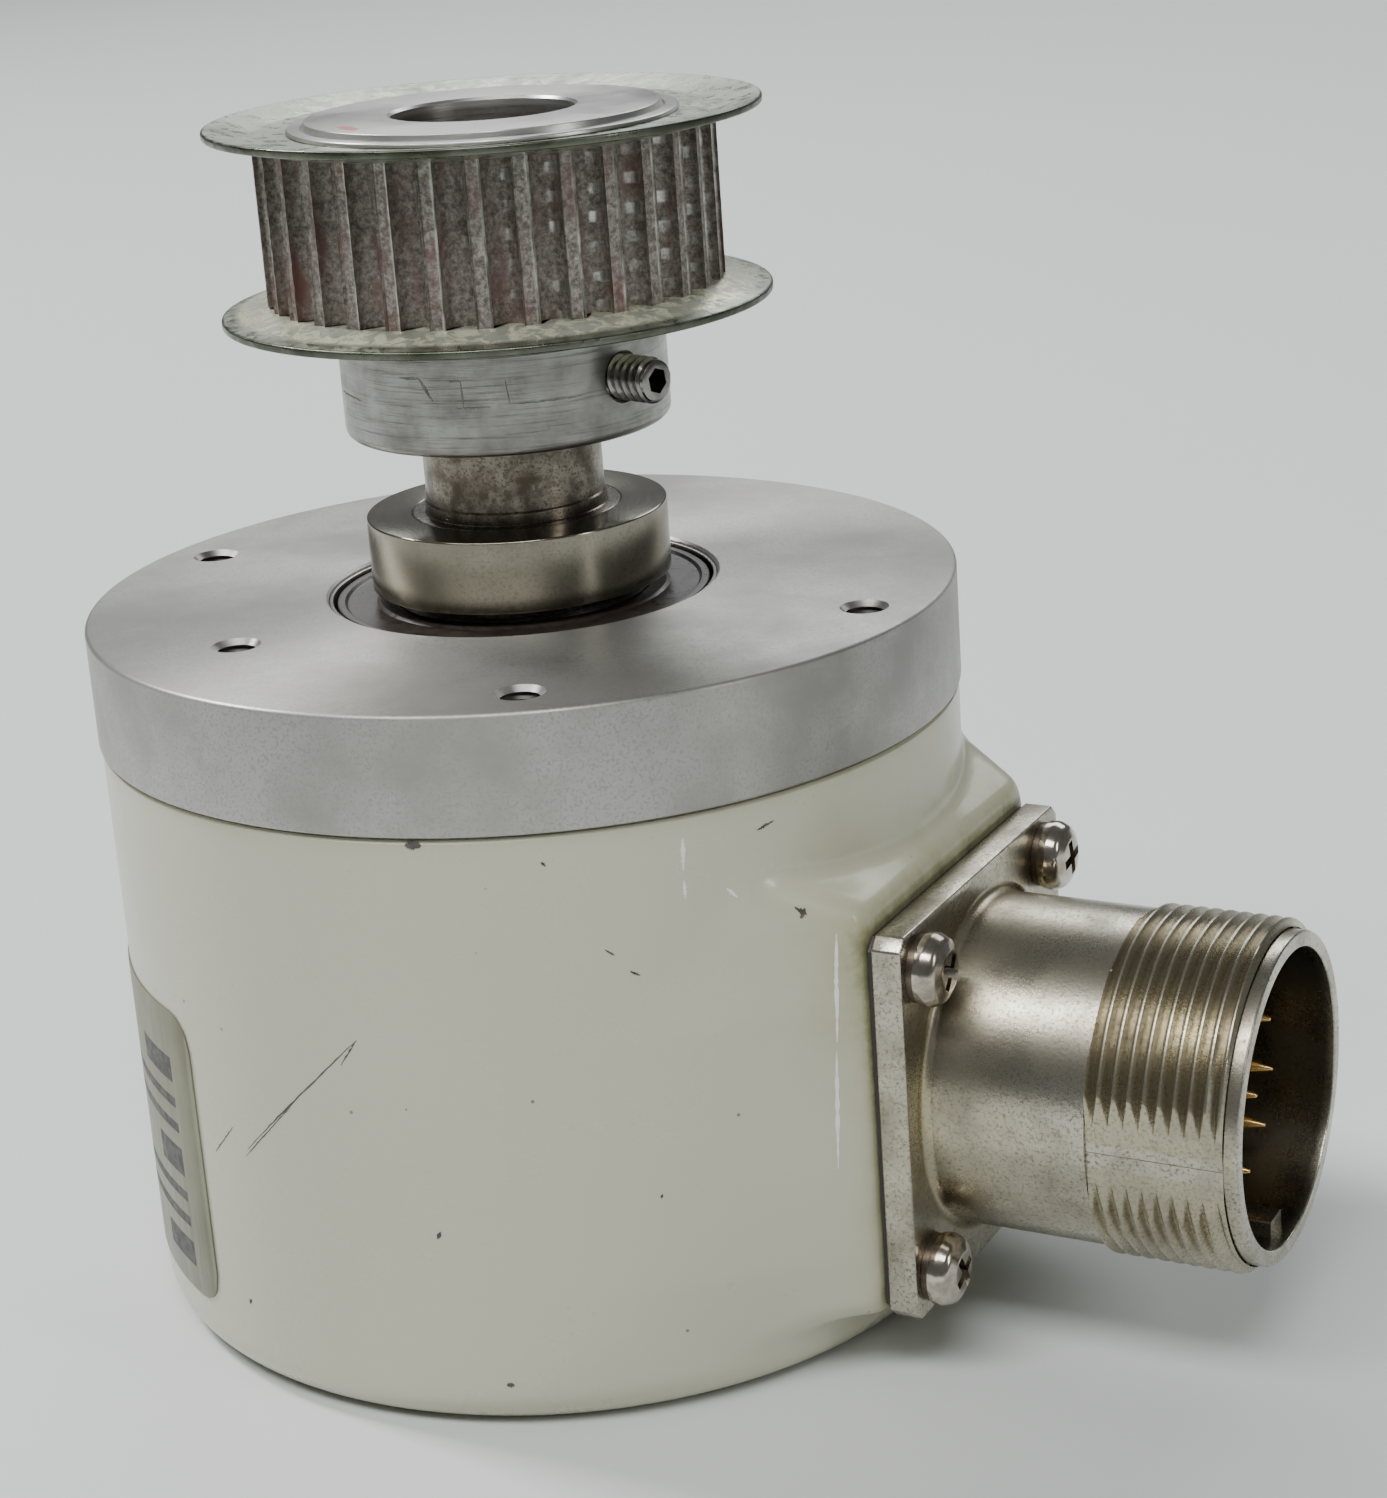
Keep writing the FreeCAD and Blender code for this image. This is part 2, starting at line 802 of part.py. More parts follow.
def make_connector_shell():
    """Square plate, barrel with thread rings near its mouth, and a key along the bottom."""
    shell = Piece("connector_shell", along_socket=True)
    back = d.boss_face + d.gasket_thickness
    outline = shell.outline(square(d.plate_half, d.plate_corner), role="XY_Plane", lift=back)
    shell.padded(outline, d.plate_thickness)
    section = [
        (d.spigot_inner, d.spigot_end),
        (d.spigot_outer, d.spigot_end),
        (d.spigot_outer, back + d.cut_margin),
        (d.barrel_radius + d.barrel_step, back + d.cut_margin),
        (d.barrel_radius + d.barrel_step, back + d.plate_thickness),
        (d.barrel_radius, back + d.plate_thickness + d.barrel_step),
        (d.barrel_radius, d.thread_start),
    ]
    for turn in range(THREAD_TURNS):
        start = d.thread_start + d.thread_pitch * turn
        section.append((d.thread_root, start))
        section.append((d.thread_crest, start + d.thread_pitch * CREST_START))
        section.append((d.thread_crest, start + d.thread_pitch * CREST_END))
    section += [
        (d.thread_root, d.lip_start),
        (d.lip_radius, d.lip_start),
        (d.lip_radius, d.shell_end - d.lip_chamfer),
        (d.lip_radius - d.lip_chamfer, d.shell_end),
        (d.mouth_radius + d.lip_chamfer, d.shell_end),
        (d.mouth_radius, d.shell_end - d.lip_chamfer),
        (d.mouth_radius, d.mouth_floor),
        (d.spigot_inner, d.mouth_floor),
    ]
    shell.turned(section)
    shell.primitive(
        "SubtractiveCylinder",
        at=(0, 0, d.boss_face),
        Radius=d.spigot_inner,
        Height=d.mouth_floor - d.boss_face,
    )
    shell.primitive(
        "AdditiveBox",
        at=(d.key_width * -0.5, -d.mouth_radius - d.key_root, d.insulator_face + d.fit_gap),
        Length=d.key_width,
        Width=d.key_height + d.key_root,
        Height=d.key_end - d.insulator_face - d.fit_gap,
    )
    radius = d.plate_screw_radius + d.pass_gap
    holes = shell.circles(plate_screw_places(), radius, lift=back - d.cut_margin)
    shell.pocketed(holes, d.plate_thickness + d.cut_margin * 2)


def pin_places():
    """Centres of the seventeen contacts: one, a ring of five and a ring of eleven."""
    places = [(size(0), size(0))]
    for radius, first, count in (
        (d.pin_circle_small, PIN_ANGLE_SMALL, SMALL_PIN_COUNT),
        (d.pin_circle_large, PIN_ANGLE_LARGE, LARGE_PIN_COUNT),
    ):
        places += [polar(radius, first + 360.0 / count * i) for i in range(count)]
    return places


def make_connector_insulator():
    insulator = Piece("connector_insulator", along_socket=True)
    insulator.turned(
        [
            (0, d.insulator_back),
            (d.spigot_inner - d.fit_gap, d.insulator_back),
            (d.spigot_inner - d.fit_gap, d.mouth_floor),
            (d.mouth_radius - d.fit_gap, d.mouth_floor),
            (d.mouth_radius - d.fit_gap, d.insulator_face),
            (0, d.insulator_face),
        ]
    )
    low = d.insulator_back - d.cut_margin
    holes = insulator.circles(pin_places(), d.cup_radius + d.fit_gap, lift=low)
    insulator.pocketed(holes, d.insulator_face - low + d.cut_margin)


def make_connector_pins():
    """Pointed contacts with hollow solder cups behind the insulator."""
    pins = Piece("connector_pins", along_socket=True)
    body_length = d.insulator_face - d.cup_end - d.pin_shoulder
    stem_start = d.insulator_face - d.pin_shoulder - d.cut_margin
    tip_start = d.pin_tip - d.pin_point
    for x, y, count in (
        (size(0), size(0), 1),
        (*polar(d.pin_circle_small, PIN_ANGLE_SMALL), SMALL_PIN_COUNT),
        (*polar(d.pin_circle_large, PIN_ANGLE_LARGE), LARGE_PIN_COUNT),
    ):
        barrel = pins.primitive(
            "AdditiveCylinder", at=(x, y, d.cup_end), Radius=d.cup_radius, Height=body_length
        )
        stem = pins.primitive(
            "AdditiveCylinder",
            at=(x, y, stem_start),
            Radius=d.pin_radius,
            Height=tip_start - stem_start,
        )
        point = pins.primitive(
            "AdditiveCone",
            at=(x, y, tip_start),
            Radius1=d.pin_radius,
            Radius2=d.pin_end,
            Height=d.pin_point,
        )
        cup = pins.primitive(
            "SubtractiveCylinder",
            at=(x, y, d.cup_end - d.cut_margin),
            Radius=d.cup_radius * 0.7,
            Height=d.cup_depth + d.cut_margin,
        )
        if count > 1:
            pins.repeated([barrel, stem, point, cup], count)


def make_connector_screws():
    """Pan-head screws with a cross recess, through the plate into the boss."""
    screws = Piece("connector_screws", along_socket=True)
    seat = d.boss_face + d.gasket_thickness + d.plate_thickness + d.washer_thickness
    reach = d.plate_screw_offset
    head = screws.primitive(
        "AdditiveCylinder",
        at=(reach, reach, seat),
        Radius=d.plate_screw_head,
        Height=d.plate_screw_rim,
    )
    crown = screws.primitive(
        "AdditiveCone",
        at=(reach, reach, seat + d.plate_screw_rim),
        Radius1=d.plate_screw_head,
        Radius2=d.plate_screw_crown,
        Height=d.plate_screw_rise,
    )
    shank = screws.primitive(
        "AdditiveCylinder",
        at=(reach, reach, seat - d.plate_screw_length),
        Radius=d.plate_screw_radius,
        Height=d.plate_screw_length + d.cross_depth * 0.5,
    )
    head_top = seat + d.plate_screw_rim + d.plate_screw_rise
    recess = (reach, reach, head_top - d.cross_depth)
    cross = cross_recess(screws, recess, d.cross_depth + d.cut_margin)
    screws.repeated([head, crown, shank, *cross], len(CORNERS))


def make_connector_lock_washers():
    """Split spring washers under the four screw heads."""
    washers = Piece("connector_lock_washers", along_socket=True)
    seat = d.boss_face + d.gasket_thickness + d.plate_thickness
    reach = d.plate_screw_offset
    disc = washers.primitive(
        "AdditiveCylinder",
        at=(reach, reach, seat),
        Radius=d.washer_outer,
        Height=d.washer_thickness,
    )
    hole = washers.primitive(
        "SubtractiveCylinder",
        at=(reach, reach, seat - d.cut_margin),
        Radius=d.plate_screw_radius + d.pass_gap,
        Height=d.washer_thickness + d.cut_margin * 2,
    )
    split = washers.primitive(
        "SubtractiveBox",
        at=(reach, reach - d.washer_split * 0.5, seat - d.cut_margin),
        Length=d.washer_outer * 2,
        Width=d.washer_split,
        Height=d.washer_thickness + d.cut_margin * 2,
    )
    washers.repeated([disc, hole, split], len(CORNERS))


# --- Bearings --------------------------------------------------------------------------


def make_bearing(end, bottom):
    """Two rings, two shields, the balls and their cage, standing on a height."""
    middle = bottom + d.bearing_width * 0.5
    top = bottom + d.bearing_width
    race_centre = [(d.bearing_pitch, middle)]

    outer = Piece(f"{end}_bearing_outer_ring")
    outer.turned(
        [
            (d.outer_ring_inner, bottom + d.shield_depth),
            (d.shield_recess, bottom + d.shield_depth),
            (d.shield_recess, bottom),
            (d.bearing_outer - d.ring_chamfer, bottom),
            (d.bearing_outer, bottom + d.ring_chamfer),
            (d.bearing_outer, top - d.ring_chamfer),
            (d.bearing_outer - d.ring_chamfer, top),
            (d.shield_recess, top),
            (d.shield_recess, top - d.shield_depth),
            (d.outer_ring_inner, top - d.shield_depth),
        ]
    )
    outer.grooved(outer.circles(race_centre, d.race_radius, role="XZ_Plane"))

    inner = Piece(f"{end}_bearing_inner_ring")
    inner.turned(
        [
            (d.bearing_bore + d.seat_gap, bottom),
            (d.inner_ring_outer - d.edge_break, bottom),
            (d.inner_ring_outer, bottom + d.edge_break),
            (d.inner_ring_outer, top - d.edge_break),
            (d.inner_ring_outer - d.edge_break, top),
            (d.bearing_bore + d.seat_gap, top),
        ]
    )
    inner.grooved(inner.circles(race_centre, d.race_radius, role="XZ_Plane"))

    shields = Piece(f"{end}_bearing_shields")
    hole = d.inner_ring_outer + d.pass_gap
    for low in (bottom + d.pass_gap, top - d.pass_gap - d.shield_thickness):
        shields.turned(ring_section(hole, d.shield_outer, low, low + d.shield_thickness))

    balls = Piece(f"{end}_bearing_balls")
    ball = balls.primitive(
        "AdditiveSphere", at=(d.bearing_pitch, 0, middle), Radius=d.ball_radius
    )
    balls.repeated([ball], BALL_COUNT)

    cage = Piece(f"{end}_bearing_cage")
    cage.turned(
        ring_section(
            d.bearing_pitch - d.cage_half,
            d.bearing_pitch + d.cage_half,
            middle - d.cage_half,
            middle + d.cage_back,
        )
    )
    pocket = cage.primitive(
        "SubtractiveSphere", at=(d.bearing_pitch, 0, middle), Radius=d.race_radius
    )
    cage.repeated([pocket], BALL_COUNT)


def make_preload_spring():
    """Conical disc spring that pushes the rear outer ring off the tube's shoulder."""
    spring = Piece("preload_disc_spring")
    low = d.rear_bearing_bottom + d.bearing_width
    rise = d.shoulder_height - d.spring_thickness
    spring.turned(
        [
            (d.spring_inner, low + rise),
            (d.spring_outer, low),
            (d.spring_outer, low + d.spring_thickness),
            (d.spring_inner, low + d.shoulder_height),
        ]
    )


# --- Shaft line ------------------------------------------------------------------------


def make_shaft():
    front_top = d.flange_top - d.bearing_recess
    shaft = Piece("shaft")
    shaft.turned(
        [
            (0, d.shaft_bottom),
            (d.stub_radius - d.edge_break, d.shaft_bottom),
            (d.stub_radius, d.shaft_bottom + d.edge_break),
            (d.stub_radius, d.stub_top),
            (d.bearing_bore, d.stub_top),
            (d.bearing_bore, d.clip_bottom),
            (d.clip_seat, d.clip_bottom),
            (d.clip_seat, d.clip_bottom + d.clip_thickness),
            (d.bearing_bore, d.clip_bottom + d.clip_thickness),
            (d.bearing_bore, front_top),
            (d.shoulder_seat, front_top),
            (d.shoulder_seat, d.collar_top - d.ring_chamfer),
            (d.shoulder_seat - d.ring_chamfer, d.collar_top),
            (d.shaft_neck, d.collar_top),
            (d.shaft_neck, d.collar_top + d.neck_height),
            (d.shaft_radius, d.collar_top + d.neck_height + d.ring_chamfer),
            (d.shaft_radius, d.shaft_top - d.bore_edge),
            (d.shaft_radius - d.bore_edge, d.shaft_top),
            (0, d.shaft_top),
        ]
    )


def make_shaft_collar():
    """Flinger collar on the shaft's shoulder, just clear of the front bearing."""
    collar = Piece("shaft_collar")
    bore = d.shoulder_seat + d.seat_gap
    bottom = d.flange_top + d.collar_gap
    edge = d.ring_chamfer
    collar.turned(
        [
            (bore, bottom),
            (d.collar_radius - edge, bottom),
            (d.collar_radius, bottom + edge),
            (d.collar_radius, d.collar_top - edge),
            (d.collar_radius - edge, d.collar_top),
            (bore + edge, d.collar_top),
            (bore, d.collar_top - edge),
        ]
    )


def make_bearing_spacer():
    spacer = Piece("bearing_spacer")
    low = d.rear_bearing_bottom + d.bearing_width
    high = d.flange_top - d.bearing_recess - d.bearing_width
    spacer.turned(ring_section(d.bearing_bore + d.seat_gap, d.spacer_outer, low, high))


def make_shaft_retaining_ring():
    """Open snap ring in the shaft's groove below the rear bearing."""
    ring = Piece("shaft_retaining_ring")
    ring.turned(
        ring_section(
            d.clip_seat + d.seat_gap,
            d.clip_outer,
            d.clip_bottom + d.fit_gap,
            d.clip_bottom + d.clip_thickness - d.fit_gap,
        )
    )
    ring.primitive(
        "SubtractiveBox",
        at=(0, d.clip_opening * -0.5, d.clip_bottom - d.cut_margin),
        Length=d.clip_outer * 2,
        Width=d.clip_opening,
        Height=d.clip_thickness + d.cut_margin * 2,
    )


# --- Pulley ----------------------------------------------------------------------------


def make_pulley_body():
    """Hub and toothed rim in one, its top edge rolled out over the upper flange."""
    pulley = Piece("pulley_body")
    bore = d.shaft_radius + d.seat_gap
    lower_low = d.tooth_bottom - d.rim_thickness
    hub_top = lower_low - d.hub_step
    upper_high = d.tooth_top + d.rim_thickness
    face = upper_high + d.crimp_height + d.face_rise
    pulley.turned(
        [
            (bore + d.pulley_bore_edge, d.hub_bottom),
            (d.hub_radius - d.hub_round, d.hub_bottom, d.hub_round),
            (d.hub_radius, d.hub_bottom + d.hub_round),
            (d.hub_radius, hub_top),
            (d.lower_seat, hub_top),
            (d.lower_seat, d.tooth_bottom),
            (d.pulley_radius, d.tooth_bottom),
            (d.pulley_radius, d.tooth_top),
            (d.rim_seat, d.tooth_top),
            (d.rim_seat, upper_high),
            (d.crimp_radius, upper_high),
            (d.crimp_radius, upper_high + d.crimp_height),
            (d.face_radius, upper_high + d.crimp_height),
            (d.face_radius - d.ring_chamfer, face),
            (bore + d.pulley_bore_edge, face),
            (bore, face - d.pulley_bore_edge),
            (bore, d.hub_bottom + d.pulley_bore_edge),
        ]
    )
    gap = pulley.pocketed(
        pulley.circles([(d.groove_centre, 0)], d.groove_radius, lift=d.tooth_bottom),
        d.tooth_top - d.tooth_bottom,
    )
    pulley.repeated([gap], TOOTH_COUNT)
    for angle in SET_SCREW_ANGLES:
        pulley.primitive(
            "SubtractiveCylinder",
            at=(0, 0, d.set_screw_height),
            turn=radial(angle),
            Radius=d.set_screw_radius + d.fit_gap,
            Height=d.pulley_radius,
        )


def make_pulley_set_screws():
    """Socket set screws, square to each other, standing proud of the hub."""
    screws = Piece("pulley_set_screws")
    start = d.set_screw_tip - d.set_screw_length
    for angle in SET_SCREW_ANGLES:
        x, y = polar(start, angle)
        screws.primitive(
            "AdditiveCylinder",
            at=(x, y, d.set_screw_height),
            turn=radial(angle),
            Radius=d.set_screw_radius,
            Height=d.set_screw_length,
        )
        x, y = polar(d.set_screw_tip - d.set_screw_socket, angle)
        screws.primitive(
            "SubtractivePrism",
            at=(x, y, d.set_screw_height),
            turn=radial(angle),
            Polygon=6,
            Circumradius=d.set_screw_key,
            Height=d.set_screw_socket + d.cut_margin,
        )


def make_pulley_flange(label, seat, low, rim_low):
    """Steel ring beside the teeth, dished away from them, its outer edges broken."""
    flange = Piece(label)
    bend = d.pulley_radius + d.rim_bend
    high = low + d.rim_thickness
    rim_high = rim_low + d.rim_thickness
    radius = d.rim_radius.value
    flange.turned(
        [
            (seat + d.seat_gap, low),
            (bend, low),
            (d.rim_radius, rim_low),
            (d.rim_radius, rim_high),
            (bend, high),
            (seat + d.seat_gap, high),
        ]
    )

    def outer_edge(edge):
        return is_circle(edge, radius, rim_low.value) or is_circle(edge, radius, rim_high.value)

    flange.chamfered(outer_edge, d.rim_chamfer)


# --- Code disc -------------------------------------------------------------------------


def make_disc_hub():
    hub = Piece("disc_hub")
    bore = d.stub_radius + d.seat_gap
    disc_top = d.disc_bottom + d.disc_thickness
    spigot = d.disc_bore - d.fit_gap
    hub_top = d.stub_top - d.ring_chamfer
    hub.turned(
        [
            (bore, d.shaft_bottom),
            (spigot, d.shaft_bottom),
            (spigot, disc_top),
            (d.hub_flange_radius, disc_top),
            (d.hub_flange_radius, disc_top + d.hub_flange_height),
            (d.hub_neck_radius, disc_top + d.hub_flange_height),
            (d.hub_neck_radius, hub_top),
            (bore, hub_top),
        ]
    )
    tapping = hub.primitive(
        "SubtractiveCylinder",
        at=(d.disc_screw_circle, 0, disc_top - d.cut_margin),
        Radius=d.disc_screw + d.fit_gap,
        Height=d.hub_flange_height + d.cut_margin - d.edge_break,
    )
    hub.repeated([tapping], DISC_SCREW_COUNT)
    for angle in GRUB_SCREW_ANGLES:
        hub.primitive(
            "SubtractiveCylinder",
            at=(0, 0, d.grub_height),
            turn=radial(angle),
            Radius=d.grub_radius + d.fit_gap,
            Height=d.hub_neck_radius + d.cut_margin,
        )


def make_hub_grub_screws():
    screws = Piece("hub_grub_screws")
    start = d.stub_radius + d.fit_gap
    for angle in GRUB_SCREW_ANGLES:
        x, y = polar(start, angle)
        screws.primitive(
            "AdditiveCylinder",
            at=(x, y, d.grub_height),
            turn=radial(angle),
            Radius=d.grub_radius,
            Height=d.grub_length,
        )
        x, y = polar(start + d.grub_length * 0.5, angle)
        screws.primitive(
            "SubtractivePrism",
            at=(x, y, d.grub_height),
            turn=radial(angle),
            Polygon=6,
            Circumradius=d.grub_key,
            Height=d.grub_length,
        )


def make_code_disc():
    """Glass disc with a plain bore and three screw holes."""
    disc = Piece("code_disc")
    top = d.disc_bottom + d.disc_thickness
    disc.turned(ring_section(d.disc_bore, d.disc_radius, d.disc_bottom, top))
    hole = disc.primitive(
        "SubtractiveCylinder",
        at=(d.disc_screw_circle, 0, d.disc_bottom - d.cut_margin),
        Radius=d.disc_screw + d.fit_gap,
        Height=d.disc_thickness + d.cut_margin * 2,
    )
    disc.repeated([hole], DISC_SCREW_COUNT)


def make_disc_clamp():
    ring = Piece("disc_clamp_ring")
    low = d.disc_bottom - d.clamp_thickness
    ring.turned(ring_section(d.disc_bore, d.clamp_radius, low, d.disc_bottom))
    hole = ring.primitive(
        "SubtractiveCylinder",
        at=(d.disc_screw_circle, 0, low - d.cut_margin),
        Radius=d.disc_screw + d.fit_gap,
        Height=d.clamp_thickness + d.cut_margin * 2,
    )
    ring.repeated([hole], DISC_SCREW_COUNT)
    screws = Piece("disc_clamp_screws")
    seat = (d.disc_screw_circle, 0, low)
    features = slotted_screw(
        screws, seat, d.disc_screw_head, d.disc_screw, d.disc_screw_length
    )
    screws.repeated(features, DISC_SCREW_COUNT)


def slotted_screw(screws, seat, head_radius, radius, length):
    """A slotted cylinder-head screw pointing up, its head hanging below its seat."""
    x, y, low = (size(value) for value in seat)
    depth = d.slot_depth
    head = screws.primitive(
        "AdditiveCylinder", at=(x, y, low - depth * 2), Radius=head_radius, Height=depth * 2
    )
    shank = screws.primitive(
        "AdditiveCylinder",
        at=(x, y, low - depth),
        Radius=radius,
        Height=depth + length,
    )
    slot = screws.primitive(
        "SubtractiveBox",
        at=(x - head_radius * 1.5, y - d.slot_width * 0.5, low - depth * 2 - d.cut_margin),
        Length=head_radius * 3,
        Width=d.slot_width,
        Height=depth + d.cut_margin,
    )
    return [head, shank, slot]


# --- Boards and optics -----------------------------------------------------------------


def make_board(label, bottom):
    """Round circuit board, notched for the pillars and drilled for the standoffs."""
    board = Piece(label)
    disc = board.circles([(0, 0)], d.board_radius, lift=bottom)
    board.padded(disc, d.board_thickness)
    low = bottom - d.cut_margin
    depth = d.board_thickness + d.cut_margin * 2
    x, y = polar(d.pillar_circle, PILLAR_ANGLE)
    notch = board.primitive(
        "SubtractiveCylinder",
        at=(x, y, low),
        Radius=d.pillar_notch,
        Height=depth,
    )
    board.repeated([notch], PILLAR_COUNT)
    x, y = polar(d.standoff_circle, STANDOFF_ANGLE)
    hole = board.primitive(
        "SubtractiveCylinder",
        at=(x, y, low),
        Radius=d.small_screw + d.pass_gap,
        Height=depth,
    )
    board.repeated([hole], STANDOFF_COUNT)
    return board


def make_detector_board():
    board = make_board("detector_board", d.detector_bottom)
    low = d.detector_bottom - d.cut_margin
    for side in (-1, 1):
        board.primitive(
            "SubtractiveCylinder",
            at=(-d.bracket_screw_distance, d.bracket_screw_offset * side, low),
            Radius=d.bracket_screw_radius + d.pass_gap,
            Height=d.board_thickness + d.cut_margin * 2,
        )


def make_board_standoffs():
    """Four hexagonal posts from the flange's spigot down to the detector board."""
    posts = Piece("board_standoffs")
    spigot_bottom = d.flange_top - d.flange_thickness - d.spigot_depth
    low = d.detector_bottom + d.board_thickness
    x, y = polar(d.standoff_circle, STANDOFF_ANGLE)
    post = posts.primitive(
        "AdditivePrism",
        at=(x, y, low),
        Polygon=6,
        Circumradius=d.standoff_radius,
        Height=spigot_bottom - low,
    )
    stud = posts.primitive(
        "AdditiveCylinder",
        at=(x, y, spigot_bottom - d.cut_margin),
        Radius=d.small_screw,
        Height=d.standoff_stud + d.cut_margin,
    )
    tapping = posts.primitive(
        "SubtractiveCylinder",
        at=(x, y, low - d.cut_margin),
        Radius=d.small_screw + d.fit_gap,
        Height=d.standoff_tapping + d.cut_margin,
    )
    posts.repeated([post, stud, tapping], STANDOFF_COUNT)


def make_board_spacers():
    spacers = Piece("board_spacers")
    low = d.processor_bottom + d.board_thickness
    x, y = polar(d.standoff_circle, STANDOFF_ANGLE)
    length = d.detector_bottom - low
    sleeve = spacers.primitive(
        "AdditiveCylinder", at=(x, y, low), Radius=d.spacer_radius, Height=length
    )
    bore = spacers.primitive(
        "SubtractiveCylinder",
        at=(x, y, low - d.cut_margin),
        Radius=d.small_screw + d.pass_gap,
        Height=length + d.cut_margin * 2,
    )
    spacers.repeated([sleeve, bore], STANDOFF_COUNT)


def make_board_screws():
    screws = Piece("board_screws")
    x, y = polar(d.standoff_circle, STANDOFF_ANGLE)
    seat = (x, y, d.processor_bottom)
    features = slotted_screw(
        screws, seat, d.board_screw_head, d.small_screw, d.board_screw_length
    )
    screws.repeated(features, STANDOFF_COUNT)


def block(label, low, high):
    """A piece that starts as a plain block between two corners."""
    piece = Piece(label)
    add_block(piece, low, high)
    return piece


def add_block(piece, low, high, kind="AdditiveBox"):
    low = [size(v) for v in low]
    high = [size(v) for v in high]
    piece.primitive(
        kind,
        at=low,
        Length=high[0] - low[0],
        Width=high[1] - low[1],
        Height=high[2] - low[2],
    )


def make_optics():
    """Lamp and lens above the code disc, mask and photodiodes below it."""
    centre = -d.sensor_distance
    board_top = d.detector_bottom + d.board_thickness
    diode_top = board_top + d.diode_height
    mask_top = diode_top + d.mask_thickness
    half = d.diode_width * 0.5
    block("photodiode_array", (centre - half, -half, board_top), (centre + half, half, diode_top))
    half = half - d.mask_inset
    mask = block("mask_plate", (centre - half, -half, diode_top), (centre + half, half, mask_top))
    slit = d.mask_slit
    for offset in (slit * -2, slit):
        low = (centre + offset, slit * -2.5, diode_top - d.cut_margin)
        high = (centre + offset + slit, slit * 2.5, mask_top + d.cut_margin)
        add_block(mask, low, high, kind="SubtractiveBox")
    make_optics_bracket(centre, board_top)
    lens = Piece("collimating_lens")
    lens.primitive(
        "AdditiveCylinder",
        at=(centre, 0, d.lens_bottom),
        Radius=d.lens_radius - d.fit_gap,
        Height=d.lens_edge,
    )
    dome = lens.primitive(
        "AdditiveSphere",
        at=(centre, 0, d.lens_bottom + d.lens_edge),
        Radius=d.lens_dome,
    )
    dome.Angle1 = 0.0
    lamp = Piece("led_lamp")
    for radius, low, high in (
        (d.lamp_radius - d.fit_gap, d.lamp_bottom, d.bracket_top),
        (d.lamp_rim, d.bracket_top, d.bracket_top + d.lamp_rim_height),
    ):
        lamp.primitive("AdditiveCylinder", at=(centre, 0, low), Radius=radius, Height=high - low)
    make_bracket_screws()


def make_optics_bracket(centre, board_top):
    """Post beside the code disc with an arm over it, bored for the lens and the lamp."""
    half = d.bracket_half
    bracket = block(
        "optics_bracket",
        (-d.bracket_back, -half, board_top),
        (d.bracket_post - d.bracket_back, half, d.bracket_top),
    )
    reach = half - d.sensor_distance - d.bracket_inset
    add_block(bracket, (-d.bracket_back, -half, d.arm_bottom), (reach, half, d.bracket_top))
    middle = d.lamp_bottom - d.lamp_lip
    for radius, low, high in (
        (d.lens_radius, d.arm_bottom - d.cut_margin, middle),
        (d.lamp_radius, middle - d.cut_margin, d.bracket_top + d.cut_margin),
    ):
        bracket.primitive(
            "SubtractiveCylinder", at=(centre, 0, low), Radius=radius, Height=high - low
        )
    for side in (-1, 1):
        bracket.primitive(
            "SubtractiveCylinder",
            at=(
                -d.bracket_screw_distance,
                d.bracket_screw_offset * side,
                board_top - d.cut_margin,
            ),
            Radius=d.bracket_screw_radius + d.fit_gap,
            Height=d.bracket_screw_length + d.cut_margin,
        )


def make_bracket_screws():
    screws = Piece("bracket_screws")
    for side in (-1, 1):
        seat = (-d.bracket_screw_distance, d.bracket_screw_offset * side, d.detector_bottom)
        slotted_screw(
            screws,
            seat,
            d.bracket_screw_head,
            d.bracket_screw_radius,
            d.bracket_screw_length,
        )


def make_components():
    """Chips, capacitors and the header that links the two boards."""
    top = d.processor_bottom + d.board_thickness
    chips = Piece("signal_chips")
    for x, y in CHIP_PLACES:
        add_block(chips, (x, y, top), (x + d.chip_length, y + d.chip_width, top + d.chip_height))
    capacitors = Piece("filter_capacitors")
    for x, y in CAPACITOR_PLACES:
        capacitors.primitive(
            "AdditiveCylinder",
            at=(x, y, top),
            Radius=d.capacitor_radius,
            Height=d.capacitor_height,
        )
    low = (-d.header_half, d.header_distance, top)
    high = (d.header_half, d.header_distance + d.header_width, d.detector_bottom)
    block("board_link_header", low, high)


def make_harness():
    """Socket on the detector board, its plug, and six wires to the solder cups."""
    top = d.detector_bottom + d.board_thickness
    seat = top + d.socket_rise
    plug_top = seat + d.plug_rise
    middle = size(WIRE_ROWS[0] + WIRE_ROWS[1]) * 0.5
    half = d.plug_half + d.plug_wall
    low = middle - d.plug_thickness * 0.5
    high = middle + d.plug_thickness * 0.5
    wall = d.plug_wall
    block("harness_socket", (low - wall, -half, top), (high + wall, half, seat))
    block("harness_plug", (low, -d.plug_half, seat), (high, d.plug_half, plug_top))
    places = pin_places()
    contacts = [(WIRE_ROWS[0], place) for place in places[6:10]]
    contacts += [(WIRE_ROWS[1], place) for place in places[2:4]]
    wires = []
    for row, (across, above) in contacts:
        y = across.value
        z = (d.socket_height + above).value
        start = FreeCAD.Vector(row, y * WIRE_SPREAD, plug_top.value)
        bend = FreeCAD.Vector(row, y * WIRE_SPREAD, z)
        end = FreeCAD.Vector(d.cup_end.value, y, z)
        wires.append(wire_along([start, bend, end], d.wire_radius.value))
    harness = doc.addObject("Part::Feature", "harness_wires")
    harness.Label = "harness_wires"
    harness.Shape = Part.makeCompound(wires)
    harness.Placement = FreeCAD.Placement()
    PIECES.append(harness)


